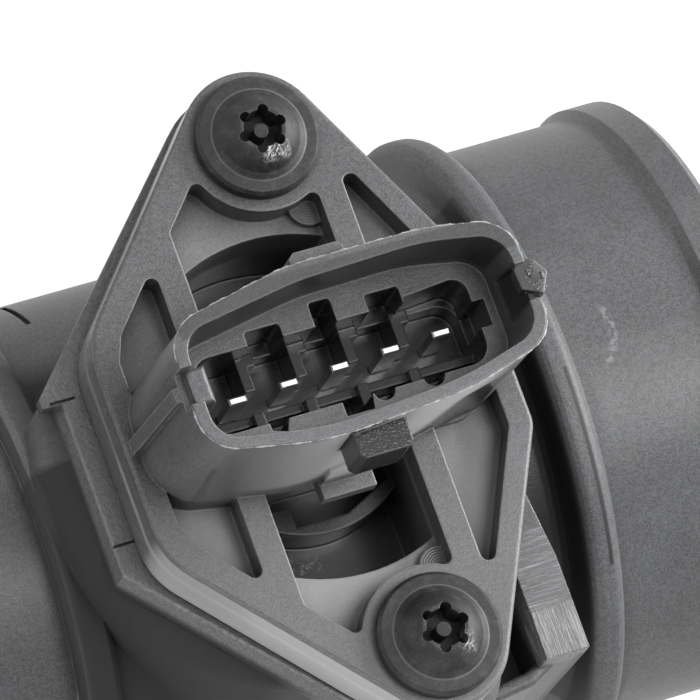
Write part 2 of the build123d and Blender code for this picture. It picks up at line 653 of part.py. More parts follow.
def evaluation_chip():
    """The chip on the board."""
    y0 = BACK_Y + PLATE_T + BOARD_T
    chip = box(SENSOR_X + 1.0, SENSOR_X + 6.2, y0, y0 + CHIP_T, CHAMBER_Z0 + 3.0, CHAMBER_Z0 + 6.6)
    return chamfer(chip.faces().sort_by(Axis.Y)[-1].edges(), 0.2)


def sensor_carrier():
    """The holder that stands on the carrier and reaches into the channel."""
    y0 = BACK_Y + PLATE_T
    holder = box(SENSOR_X - 2.6, SENSOR_X + 2.6, y0, y0 + CARRIER_T, GUIDE_Z1 + 0.8, CHAMBER_Z0 + 2.3)
    y1 = y0 + CARRIER_T
    return holder - box(SENSOR_X - 1.5, SENSOR_X + 1.5, y1 - WINDOW_T, y1 + 1, WINDOW_Z, CHANNEL_Z1 - 0.7)


def sensor_chip():
    """The hot-film element in the window of the holder."""
    y0 = BACK_Y + PLATE_T + CARRIER_T - WINDOW_T
    return box(SENSOR_X - 1.2, SENSOR_X + 1.2, y0, y0 + 0.4, WINDOW_Z, CHANNEL_Z1 - 0.9)


def cover(z0, z1):
    """A flush lid in the face of the arm."""
    half = ARM_T / 2
    edge = CHAMBER_WALL - COVER_EDGE
    return box(ARM_X0 + edge, ARM_X1 - edge, half - COVER_T, half, z0, z1)


def electronics_cover():
    """The lid over the board."""
    return cover(CHAMBER_Z0 - COVER_EDGE, CHAMBER_Z1 + COVER_REST)


def channel_cover():
    """The lid over the measuring channel, with the outlet slot."""
    lid = cover(CHANNEL_Z0 - COVER_REST, CHANNEL_Z1 + COVER_REST)
    y = ARM_T / 2
    return lid - box(ARM_X0 + 3.0, ARM_X0 + 5.4, y - 2, y + 1, CHANNEL_Z0 + 1.1, CHANNEL_Z0 + 4.7)


def thermistor():
    """The air temperature bead on the ends of its two leads."""
    bead = Pos(ARM_X0 - LEAD_L - BEAD_L / 2, LEAD_Y, LEAD_Z) * Rot(0, 90, 0) * Cylinder(1.25, BEAD_L)
    return chamfer(bead.edges().filter_by(GeomType.CIRCLE), 0.5)


# Pieces in the inlet


def flow_grid():
    """The straightener: a ring with two families of blades."""
    x0 = 0.8
    x1 = GRID_SEAT_DEPTH - MESH_T
    outer = GRID_SEAT_R - RING_GAP
    ring = axis_cylinder(x0, x1, outer) - axis_cylinder(x0 - 1, x1 + 1, outer - 1.2)
    blades = None
    for k in range(-3, 4):
        level = k * outer / 3.98
        flat = box(x0 + 0.6, x1 - 0.2, -outer, outer, level - 0.3, level + 0.3)
        upright = box(x0 + 0.6, x1 - 0.2, level - 0.3, level + 0.3, -outer, outer)
        blades = flat + upright if blades is None else blades + flat + upright
    return ring + (blades & axis_cylinder(x0, x1, outer - 0.6))


def wire_mesh():
    """The screen between the straightener and the step of its seat."""
    x0 = GRID_SEAT_DEPTH - MESH_T
    x1 = GRID_SEAT_DEPTH
    outer = GRID_SEAT_R - RING_GAP
    frame = axis_cylinder(x0, x1, outer) - axis_cylinder(x0 - 1, x1 + 1, DUCT_R - 0.6)
    wires = None
    for k in range(-4, 5):
        level = k * DUCT_R / 4.86
        pair = box(x0 + 0.2, x0 + 0.5, -outer, outer, level - 0.15, level + 0.15)
        pair = pair + box(x0 + 0.2, x0 + 0.5, level - 0.15, level + 0.15, -outer, outer)
        wires = pair if wires is None else wires + pair
    return frame + (wires & axis_cylinder(x0, x1, DUCT_R - 0.3))


def pieces():
    """Every separate piece, by node name."""
    made = {
        "housing_tube": housing_tube(),
        "sensor_body": sensor_body(),
        "screw_upper": screw(SCREW_Y),
        "screw_lower": screw(-SCREW_Y),
        "seal_ring": seal_ring(),
        "base_plate": base_plate(),
        "circuit_board": circuit_board(),
        "evaluation_chip": evaluation_chip(),
        "sensor_carrier": sensor_carrier(),
        "sensor_chip": sensor_chip(),
        "electronics_cover": electronics_cover(),
        "channel_cover": channel_cover(),
        "thermistor": thermistor(),
        "thermistor_lead_1": lead_block(-1),
        "thermistor_lead_2": lead_block(1),
        "flow_grid": flow_grid(),
        "wire_mesh": wire_mesh(),
    }
    for i in range(TERMINALS):
        made["terminal_%d" % (i + 1)] = terminal(i)
    return made


os.makedirs("parts", exist_ok=True)
for name, shape in pieces().items():
    export_step(shape, "parts/%s.step" % name)
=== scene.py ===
import math

import bmesh
import bpy
import numpy as np
from mathutils import Matrix, Vector


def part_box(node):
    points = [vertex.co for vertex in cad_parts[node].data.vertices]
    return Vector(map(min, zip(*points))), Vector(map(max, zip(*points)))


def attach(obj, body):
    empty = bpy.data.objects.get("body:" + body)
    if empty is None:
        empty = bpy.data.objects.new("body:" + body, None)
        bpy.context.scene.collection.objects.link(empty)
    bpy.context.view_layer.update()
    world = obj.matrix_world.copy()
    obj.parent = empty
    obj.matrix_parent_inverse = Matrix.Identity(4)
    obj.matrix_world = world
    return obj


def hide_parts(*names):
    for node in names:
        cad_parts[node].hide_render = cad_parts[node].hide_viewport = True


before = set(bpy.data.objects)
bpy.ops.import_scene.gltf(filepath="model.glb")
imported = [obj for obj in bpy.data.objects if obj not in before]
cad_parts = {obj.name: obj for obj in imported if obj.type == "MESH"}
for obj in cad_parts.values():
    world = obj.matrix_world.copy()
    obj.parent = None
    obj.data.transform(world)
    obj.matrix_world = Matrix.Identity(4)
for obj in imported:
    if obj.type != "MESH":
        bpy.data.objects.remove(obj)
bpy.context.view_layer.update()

bl_info = {
    "name": "Airflow Meter Finishes",
    "version": (1, 0, 0),
    "blender": (4, 5, 0),
    "location": "3D View > Sidebar > Airflow Meter",
    "description": "Finishes, moulding marks, woven screen, lights and camera for a plug-in airflow meter",
    "category": "Object",
}

MM = 0.001

# Places on the part, in metres, worked out from the frame
UPPER_SCREW = (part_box("screw_upper")[0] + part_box("screw_upper")[1]) / 2
LOWER_SCREW = (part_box("screw_lower")[0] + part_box("screw_lower")[1]) / 2
SCREW_X = UPPER_SCREW.x
SCREW_HEAD = 2.7 * MM
FLANGE_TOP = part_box("screw_upper")[1].z - SCREW_HEAD
POCKET_FLOOR = FLANGE_TOP - 2.5 * MM
PAD_TOP = FLANGE_TOP - 5.8 * MM
RIM_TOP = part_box("sensor_body")[1].z
FLOOR_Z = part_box("housing_tube")[0].z - 0.3 * MM

# Boxes where a mark shows, in millimetres: centre, half size, and the margin it fades over
PATCHES = {
    "fin": ((71.0, -18.6, 26.6), (2.1, 5.4, 2.2), 0.3),
    "scuff": ((84.6, 0.6, 23.0), (1.2, 1.9, 3.0), 0.6),
    "ledge": ((48.0, 0.0, 26.9), (12.0, 26.0, 0.25), 0.15),
    # The next two boxes: painted shadow on the turret under the ledge
    "shoulder_shadow": ((47.0, -4.0, 18.0), (6.0, 14.0, 8.6), 3.0),
    "turret_front_shadow": ((40.5, -8.0, 20.5), (2.4, 10.0, 5.2), 0.8),
    # The next two boxes: painted shadow in the gap before the collar and along the collar's groove
    "gap": ((74.9, -4.0, 14.0), (2.55, 19.0, 11.2), 0.35),
    "collar_groove_shadow": ((79.25, -8.6, 21.0), (0.1, 7.2, 6.0), 0.12),
    "collar": ((79.0, 0.0, 0.0), (2.4, 26.0, 26.0), 0.5),
    # painted highlight on the connector's lower outer wall
    "skirt_highlight": ((57.0, -6.6, 38.0), (14.0, 1.5, 7.0), 0.8),
    # painted shade inside the connector's socket
    "socket": ((57.8, 0.0, 35.6), (11.6, 4.9, 4.6), 0.4),
    # painted shade on the connector's far inner wall
    "far_wall_shade": ((58.5, 4.8, 43.6), (13.0, 1.2, 2.3), 0.3),
    "rub_left": ((52.1, -8.3, 23.5), (0.55, 0.25, 4.0), 0.5),
    "rub_middle": ((53.9, -9.4, 23.5), (0.55, 0.25, 4.0), 0.5),
    "rub_right": ((55.9, -10.0, 23.5), (0.55, 0.25, 4.0), 0.5),
    "latch": ((57.4, -7.5, 43.2), (2.2, 1.1, 2.4), 0.2),
    # painted shadow in the notch by the outlet
    "notch": ((71.2, 0.6, 44.0), (1.0, 1.6, 1.7), 0.3),
}

# The colour that each mark turns a surface to, and how far
MARKS = {
    "fin_face": ((0.1, 0.1, 0.103), 0.5),
    "fin_ridge": ((0.3, 0.3, 0.31), 0.4),
    "scuff": ((0.3, 0.3, 0.31), 0.3),
    "ledge": ((0.2, 0.2, 0.205), 0.5),
    # painted shadow on the turret's shoulder under the ledge
    "shoulder_shadow": ((0.009, 0.009, 0.01), 0.96),
    # painted shadow in the gap between the turret and the collar
    "gap": ((0.008, 0.008, 0.009), 0.95),
    # painted highlight on the flange's outer walls
    "outer_wall_highlight": ((0.32, 0.32, 0.323), 1.0),
    # painted shade along the flange's top edge
    "top_edge_shade": ((0.012, 0.012, 0.012), 0.7),
    # painted light on the upper part, towards the -y side
    "painted_lit_side": ((0.15, 0.15, 0.153), 0.25),
    # painted light on the pocket floors
    "pocket_floor_light": ((0.32, 0.32, 0.323), 1.0),
    # painted highlight on the connector's lower outer wall
    "skirt_highlight": ((0.36, 0.36, 0.365), 0.8),
    # painted shade deep in the wells
    "well_shade": ((0.015, 0.015, 0.016), 0.8),
    # painted shade inside the connector's socket
    "socket": ((0.008, 0.008, 0.009), 0.85),
    # painted shade on the connector's far inner wall
    "far_wall_shade": ((0.01, 0.01, 0.011), 0.85),
    # turned rings, painted pale as a highlight
    "ejector_ring_highlight": ((0.45, 0.45, 0.46), 1.0),
    "rub": ((0.3, 0.3, 0.3), 0.55),
    "latch": ((0.008, 0.008, 0.009), 0.95),
    # painted shadow in the notch by the outlet
    "notch": ((0.012, 0.012, 0.013), 0.8),
    # painted shade in recesses
    "recess_shade": ((0.006, 0.006, 0.006), 0.8),
    "oxide_wear": ((0.055, 0.055, 0.057), 0.35),
    "oxide_edge": ((0.22, 0.22, 0.23), 0.3),
    # painted highlight: a faint pale ring on each screw head
    "head_ring_highlight": ((0.25, 0.25, 0.25), 0.2),
    "bare_steel": ((0.6, 0.6, 0.6), 0.7),
}

# Lamps: the setting with its power, its name, where it hangs, and its width and height, in metres,
# then the point that all of them face, and how far the floor reaches each way
LAMPS = (
    ("right", "right_softbox", (0.50, 0.02, 0.22), (0.30, 0.30)),
    ("over", "over_softbox", (0.22, -0.10, 0.50), (0.22, 0.22)),
    ("front", "front_softbox", (-0.20, -0.42, 0.11), (0.34, 0.16)),
    ("back", "back_softbox", (0.10, 0.40, 0.42), (0.30, 0.30)),
    ("left", "left_softbox", (-0.16, 0.0, 0.48), (0.20, 0.30)),
    ("strip", "back_strip", (-0.36, 0.30, 0.09), (0.40, 0.12)),
)
LAMP_AIM = (SCREW_X, 0.0, 0.02)
FLOOR_REACH = 1.6

# The camera fitted to the photograph: its axes as columns, then where it stands, in metres,
# and its sensor's width and lens, in millimetres
CAMERA_PLACE = (
    (0.91677403, 0.26262921, -0.29853188, -0.11321),
    (-0.33532138, 0.91386363, -0.2257938, -0.12944),
    (0.21382315, 0.3075458, 0.92719752, 0.57421),
    (0.0, 0.0, 0.0, 1.0),
)
CAMERA_SENSOR = 36.0
CAMERA_LENS = 406.75

# The connector's rim, in millimetres: its corners, each along the tube from the screws, across it, and
# its radius, then the greatest radius of the flash on the rim and the spacing of its points
RIM_CORNERS = (
    (-15.6, -4.9, 3.0), (-6.8, -6.65, 22.0), (4.6, -5.85, 24.0), (12.15, -3.75, 3.0),
    (11.65, 5.5, 3.0), (5.5, 6.6, 22.0), (-5.5, 6.6, 16.0), (-15.45, 4.55, 3.2),
)
FLASH_RADIUS = 0.13
FLASH_STEP = 0.12

# Lumps of the broken stub, in millimetres: each from the screws' line and the rim's top, and its half sizes
STUB_LUMPS = (
    ((12.35, 0.1, -0.66), (0.5, 0.5, 0.42)),
    ((12.7, 0.9, -0.74), (0.5, 0.6, 0.5)),
    ((12.0, 1.1, -0.59), (0.6, 0.5, 0.4)),
    ((12.3, 1.8, -0.7), (0.5, 0.5, 0.45)),
    ((11.6, 2.1, -0.74), (0.5, 0.45, 0.4)),
    ((11.7, 0.5, -0.79), (0.5, 0.5, 0.4)),
)

# Socket numbers of a Mix node that mixes colours
MIX_FACTOR, MIX_FIRST, MIX_SECOND, MIX_RESULT = 0, 6, 7, 2


# Node helpers


def plug(tree, sockets, values):
    """Sockets by name or number, each set from a value or linked from another socket."""
    for key, value in values.items():
        if isinstance(value, bpy.types.NodeSocket):
            tree.links.new(value, sockets[key])
        else:
            sockets[key].default_value = value


def put(tree, kind, values=None, **settings):
    """One shader node with its settings and sockets."""
    made = tree.nodes.new(kind)
    for key, value in settings.items():
        setattr(made, key, value)
    plug(tree, made.inputs, values or {})
    return made


def maths(tree, operation, *values, clamp=False):
    """The result of one Math node."""
    made = put(tree, "ShaderNodeMath", dict(enumerate(values)), operation=operation, use_clamp=clamp)
    return made.outputs[0]


def across(tree, operation, *values):
    """The vector that one Vector Math node works out."""
    return put(tree, "ShaderNodeVectorMath", dict(enumerate(values)), operation=operation).outputs["Vector"]


def times(tree, first, second):
    """The product of two values."""
    return maths(tree, "MULTIPLY", first, second)


def shifted(tree, value, mask, amount):
    """A value moved by an amount where a mask shows."""
    return maths(tree, "MULTIPLY_ADD", mask, amount, value)


def faded(tree, value, mask, share):
    """A value cut down by a share where a mask shows."""
    return times(tree, value, maths(tree, "MULTIPLY_ADD", mask, -share, 1.0))


def greatest(tree, values):
    """The greatest of several values."""
    first, *rest = values
    for value in rest:
        first = maths(tree, "MAXIMUM", first, value)
    return first


def smooth_step(tree, value, low, high, to_low=0.0, to_high=1.0):
    """A value eased from to_low at low to to_high at high."""
    inputs = {"Value": value, "From Min": low, "From Max": high, "To Min": to_low, "To Max": to_high}
    made = put(tree, "ShaderNodeMapRange", inputs, interpolation_type="SMOOTHSTEP")
    return made.outputs[0]


def grey(level):
    """A plain grey, as a colour socket takes it."""
    return (level, level, level, 1.0)


def opaque(colour, share=1.0):
    """A colour times a share, as a colour socket takes it."""
    return tuple(share * c for c in colour) + (1.0,)


def mixed(tree, factor, first, second, blend="MIX"):
    """Two colours mixed by a factor."""
    made = put(tree, "ShaderNodeMix", data_type="RGBA", blend_type=blend)
    plug(tree, made.inputs, {MIX_FACTOR: factor, MIX_FIRST: first, MIX_SECOND: second})
    return made.outputs[MIX_RESULT]


def marked(tree, shade, mask, name):
    """A colour turned to the colour of a mark where its mask shows."""
    colour, amount = MARKS[name]
    return mixed(tree, times(tree, mask, amount), shade, opaque(colour))


def place(tree):
    """The place of a point on the part, in metres."""
    return put(tree, "ShaderNodeTexCoord").outputs["Object"]


def split(tree, where):
    """The three coordinates of a place."""
    return put(tree, "ShaderNodeSeparateXYZ", {0: where}).outputs


def moved(tree, where, scale, turn=(0, 0, 0)):
    """A place stretched and turned before a pattern reads it."""
    return put(tree, "ShaderNodeMapping", {"Vector": where, "Scale": scale, "Rotation": turn}).outputs[0]


def noise(tree, where, scale, detail=3.0, rough=0.55, warp=0.0):
    """Soft noise of a size, as a value from 0 to 1."""
    inputs = {"Vector": where, "Scale": scale, "Detail": detail, "Roughness": rough, "Distortion": warp}
    return put(tree, "ShaderNodeTexNoise", inputs).outputs[0]


# Shared effects


def glass_grain(tree, given, out):
    """Fine moulded grain: two sizes of noise for height and mottling, and sparse pale fibre ends."""
    where = given["Place"]
    fine = noise(tree, where, given["Grain"], detail=1.0, rough=0.6)
    coarse = noise(tree, where, times(tree, given["Grain"], 0.35), detail=2.0)
    cells = put(tree, "ShaderNodeTexVoronoi", {"Vector": where, "Scale": given["Speck"]})
    near = smooth_step(tree, cells.outputs["Distance"], 0.1, 0.4, 1.0, 0.0)
    pick = put(tree, "ShaderNodeSeparateColor", {0: cells.outputs["Color"]}).outputs[0]
    fibre = times(tree, near, smooth_step(tree, pick, 0.0, given["Specks Shown"], 1.0, 0.0))
    both = shifted(tree, fine, coarse, 0.5)
    results = {
        "Height": shifted(tree, both, fibre, 0.4),
        "Fibre": fibre,
        "Cloud": noise(tree, where, given["Cloud"], detail=4.0, rough=0.6, warp=0.4),
        "Mottle": smooth_step(tree, both, 0.55, 0.95),
    }
    plug(tree, out, results)


def rubbed_edges_and_recess_shade(tree, given, out):
    """Outer edges, where a rounded normal turns from the plain one, and painted shade in recesses, from
    nearby walls.
    """
    rounded = put(tree, "ShaderNodeBevel", {"Radius": given["Width"]}, samples=6).outputs[0]
    plain = put(tree, "ShaderNodeNewGeometry").outputs["Normal"]
    turned = put(tree, "ShaderNodeVectorMath", {0: rounded, 1: plain}, operation="DOT_PRODUCT")
    edge = smooth_step(tree, turned.outputs["Value"], 0.8, 0.985, 1.0, 0.0)
    chips = smooth_step(tree, noise(tree, given["Place"], 900.0, detail=4.0), 0.36, 0.62)
    broken = maths(tree, "MULTIPLY_ADD", maths(tree, "SUBTRACT", chips, 1.0), given["Broken"], 1.0)
    sky = put(tree, "ShaderNodeAmbientOcclusion", {"Distance": 2.0 * MM}, samples=4).outputs["AO"]
    results = {
        "Mask": maths(tree, "MULTIPLY", edge, broken, clamp=True),
        "Recess": smooth_step(tree, sky, 0.15, 0.85, 1.0, 0.0),
        "Normal": rounded,
    }
    plug(tree, out, results)


def fine_scratches(tree, given, out):
    """Fine scratches: noise drawn out along one direction and cut to its thin crests."""
    turn = {"Vector": given["Place"], "Angle": given["Turn"]}
    x, y, z = split(tree, put(tree, "ShaderNodeVectorRotate", turn, rotation_type="Z_AXIS").outputs[0])
    drawn = put(tree, "ShaderNodeCombineXYZ", {0: times(tree, x, given["Length"]), 1: y, 2: z}).outputs[0]
    lines = noise(tree, drawn, given["Fineness"], detail=2.0, rough=0.7, warp=0.15)
    span = {"Value": lines, "From Min": given["Sharp"], "From Max": maths(tree, "ADD", given["Sharp"], 0.12)}
    crest = put(tree, "ShaderNodeMapRange", span).outputs[0]
    patches = smooth_step(tree, noise(tree, given["Place"], 160.0, detail=2.0), 0.42, 0.66)
    plug(tree, out, {"Mask": maths(tree, "MULTIPLY", crest, patches, clamp=True)})


def soft_box(tree, given, out):
    """A soft box about a centre: 1 inside its half sizes, easing to 0 over a soft margin."""
    away = across(tree, "ABSOLUTE", across(tree, "SUBTRACT", given["Place"], given["Centre"]))
    beyond = greatest(tree, split(tree, across(tree, "SUBTRACT", away, given["Half Size"])))
    share = maths(tree, "DIVIDE", beyond, given["Soft"])
    plug(tree, out, {"Mask": maths(tree, "SUBTRACT", 1.0, share, clamp=True)})


# Each effect's inputs, where None stands for a vector, its outputs and the function that fills it
EFFECTS = {
    "Glass Fibre Grain": (
        {"Place": None, "Grain": 7000.0, "Speck": 5200.0, "Specks Shown": 0.2, "Cloud": 150.0},
        ("Height", "Fibre", "Cloud", "Mottle"), glass_grain),
    "Rubbed Edges": (
        {"Place": None, "Width": 0.25 * MM, "Broken": 0.5}, ("Mask", "Recess", "Normal"), rubbed_edges_and_recess_shade),
    "Fine Scratches": (
        {"Place": None, "Fineness": 1400.0, "Length": 0.04, "Turn": 0.6, "Sharp": 0.62},
        ("Mask",), fine_scratches),
    "Soft Box": (
        {"Place": None, "Centre": None, "Half Size": None, "Soft": 1.0 * MM}, ("Mask",), soft_box),
}


def effect(name):
    """The node group of a shared effect, built the first time it is asked for."""
    if name in bpy.data.node_groups:
        return bpy.data.node_groups[name]
    inputs, outputs, fill = EFFECTS[name]
    group = bpy.data.node_groups.new(name, "ShaderNodeTree")
    for key, value in inputs.items():
        kind = "NodeSocketVector" if value is None else "NodeSocketFloat"
        socket = group.interface.new_socket(name=key, in_out="INPUT", socket_type=kind)
        if value is not None:
            socket.default_value = value
    for key in outputs:
        kind = "NodeSocketVector" if key == "Normal" else "NodeSocketFloat"
        group.interface.new_socket(name=key, in_out="OUTPUT", socket_type=kind)
    fill(group, group.nodes.new("NodeGroupInput").outputs, group.nodes.new("NodeGroupOutput").inputs)
    return group


def use(tree, name, values):
    """The outputs of a shared effect placed in a material with its own values."""
    made = tree.nodes.new("ShaderNodeGroup")
    made.node_tree = effect(name)
    plug(tree, made.inputs, values)
    return made.outputs


def box_mask(tree, where, centre, half, soft):
    """The mask of a soft box, its sizes in millimetres."""
    values = {"Place": where, "Centre": [c * MM for c in centre],
              "Half Size": [h * MM for h in half], "Soft": soft * MM}
    return use(tree, "Soft Box", values)["Mask"]


def patch(tree, where, name):
    """The mask of one of the boxes where a mark shows."""
    return box_mask(tree, where, *PATCHES[name])


def line_mask(tree, distance, middle, width):
    """A soft line where a distance is near its middle value, both in metres."""
    away = maths(tree, "ABSOLUTE", maths(tree, "SUBTRACT", distance, middle))
    return smooth_step(tree, away, 0.25 * width, width, 1.0, 0.0)


def span_from(tree, where, x, y):
    """The distance from an upright line through x and y, all in metres."""
    flat = across(tree, "MULTIPLY", across(tree, "SUBTRACT", where, (x, y, 0.0)), (1.0, 1.0, 0.0))
    return put(tree, "ShaderNodeVectorMath", {0: flat}, operation="LENGTH").outputs["Value"]


# Materials


def material(name):
    """A fresh material with its tree and its Principled shader."""
    made = bpy.data.materials.new(name)
    made.use_nodes = True
    return made, made.node_tree, made.node_tree.nodes["Principled BSDF"]


def bumped(tree, height, depth, normal=None):
    """A normal raised by a height, depth in metres."""
    inputs = {"Height": height, "Distance": depth, "Strength": 1.0}
    if normal is not None:
        inputs["Normal"] = normal
    return put(tree, "ShaderNodeBump", inputs).outputs[0]


def moulded_plastic(name, colour, edge_tint, settings, marks=None):
    """Glass-filled plastic: cloudy charcoal, pale fibre specks, grain, paler rubbed edges and painted shade
    in recesses.
    """
    made, tree, shader = material(name)
    where = place(tree)
    grain = use(tree, "Glass Fibre Grain",
                {"Place": where, "Grain": settings.grain, "Specks Shown": settings.specks})
    edges = use(tree, "Rubbed Edges", {"Place": where, "Width": settings.edge * MM})
    clouds = smooth_step(tree, grain["Cloud"], 0.3, 0.7)
    shade = mixed(tree, clouds, opaque(colour, 0.9), opaque(colour, 1.1))
    shade = mixed(tree, 1.0, shade, mixed(tree, grain["Mottle"], grey(0.7), grey(1.3)), "MULTIPLY")
    shade = mixed(tree, times(tree, grain["Fibre"], 0.4), shade, opaque(colour, 2.6))
    shade = mixed(tree, times(tree, edges["Mask"], 0.6), shade, opaque(edge_tint))
    height = grain["Height"]
    gloss = maths(tree, "MULTIPLY_ADD", grain["Cloud"], 0.05, settings.rough)
    if marks is not None:
        shade, height, gloss = marks(tree, where, shade, height, gloss)
    # Painted shade in recesses, darker where walls stand near
    shade = marked(tree, shade, edges["Recess"], "recess_shade")
    normal = bumped(tree, height, settings.depth * MM, edges["Normal"])
    plug(tree, shader.inputs, {"Base Color": shade, "Roughness": gloss, "Normal": normal})
    shader.inputs["Specular IOR Level"].default_value = 0.32
    made.diffuse_color = opaque(colour)
    return made


def cutter_grooves(tree, where, y):
    """Grooves of the fin's cut top: noise drawn out across the fin, and along it at its lower end."""
    wander = maths(tree, "MULTIPLY_ADD", noise(tree, where, 300.0), 1.5 * MM, y)
    low_end = smooth_step(tree, wander, -18.6 * MM, -18.1 * MM, 1.0, 0.0)
    fineness = 8000.0
    crosswise = moved(tree, where, (0.04, 1.0, 0.3), (0, 0, 0.12))
    lengthwise = moved(tree, where, (1.0, 0.04, 0.3), (0, 0, 0.71))
    upper = noise(tree, crosswise, fineness, rough=0.8, warp=0.1)
    lower = noise(tree, lengthwise, fineness, rough=0.8, warp=0.1)
    grooves = maths(tree, "ADD", times(tree, lower, low_end), faded(tree, upper, low_end, 1.0))
    return smooth_step(tree, grooves, 0.4, 0.66)


def housing_marks(tree, where, shade, height, gloss):
    """Cutter grooves on the fin, a scuff on the outlet, a gritty ledge, and painted shadow under the ledge
    and in the gaps round the turret.
    """
    x, y, z = split(tree, where)
    fin = patch(tree, where, "fin")
    cut = times(tree, cutter_grooves(tree, where, y), fin)
    shade = marked(tree, shade, fin, "fin_face")
    shade = marked(tree, shade, cut, "fin_ridge")
    height = shifted(tree, height, cut, 2.2)
    gloss = shifted(tree, gloss, cut, -0.12)

    arc_x, arc_y, arc_radius = 80.2 * MM, 1.4 * MM, 4.4 * MM
    arc = line_mask(tree, span_from(tree, where, arc_x, arc_y), arc_radius, 0.5 * MM)
    rub = smooth_step(tree, noise(tree, where, 2600.0, rough=0.7), 0.4, 0.62)
    shade = marked(tree, shade, times(tree, rub, times(tree, arc, patch(tree, where, "scuff"))), "scuff")

    inlet_side = smooth_step(tree, x, 56.0 * MM, 60.0 * MM, 1.0, 0.0)
    ledge = times(tree, patch(tree, where, "ledge"), inlet_side)
    grit = smooth_step(tree, noise(tree, where, 3200.0, detail=4.0, rough=0.7), 0.45, 0.68)
    height = shifted(tree, height, times(tree, grit, ledge), 2.4)
    shade = marked(tree, shade, ledge, "ledge")

    # Painted shadow on the turret's shoulder under the ledge
    under_ledge = smooth_step(tree, z, PAD_TOP - 0.7 * MM, PAD_TOP - 1.2 * MM)
    shoulder_shadow = greatest(tree, [patch(tree, where, name) for name in ("shoulder_shadow", "turret_front_shadow")])
    shoulder_shadow = times(tree, shoulder_shadow, under_ledge)
    shade = marked(tree, shade, shoulder_shadow, "shoulder_shadow")
    gloss = shifted(tree, gloss, shoulder_shadow, 0.4)

    # Painted shadow in the gap between the turret and the collar, and along the collar's groove
    gap = greatest(tree, [patch(tree, where, name) for name in ("gap", "collar_groove_shadow")])
    shade = marked(tree, shade, gap, "gap")
    gloss = shifted(tree, gloss, patch(tree, where, "collar"), 0.14)
    return shade, height, gloss


def ejector_rings(tree, where, z):
    """Turned rings on the two ejector pads: a sine of the distance from each pad's middle."""
    pad_x = SCREW_X + 2.7 * MM
    pad_y = 14.6 * MM
    ring_pitch = 0.2 * MM
    rings = []
    for side in (-1, 1):
        span = span_from(tree, where, pad_x, side * pad_y)
        inside = smooth_step(tree, span, 1.5 * MM, 1.62 * MM, 1.0, 0.0)
        inside = times(tree, inside, maths(tree, "LESS_THAN", z, FLANGE_TOP - 1.4 * MM))
        wave = maths(tree, "SINE", times(tree, span, 2 * math.pi / ring_pitch))
        rings.append(times(tree, smooth_step(tree, wave, -0.2, 0.9), inside))
    return greatest(tree, rings)


def outer_walls(tree, x, y, z):
    """The flange's two straight walls on the inlet side: how far a point lies out, square to its wall."""
    out_x, out_y = -0.746, 0.666
    reach = maths(tree, "MULTIPLY_ADD", maths(tree, "ABSOLUTE", y), out_y, times(tree, x, out_x))
    outside = smooth_step(tree, reach, -27.2 * MM, -26.1 * MM)
    below = smooth_step(tree, z, FLANGE_TOP - 0.45 * MM, FLANGE_TOP - 0.3 * MM, 1.0, 0.0)
    above = smooth_step(tree, z, PAD_TOP + 0.3 * MM, PAD_TOP + 0.5 * MM)
    return times(tree, outside, times(tree, below, above))


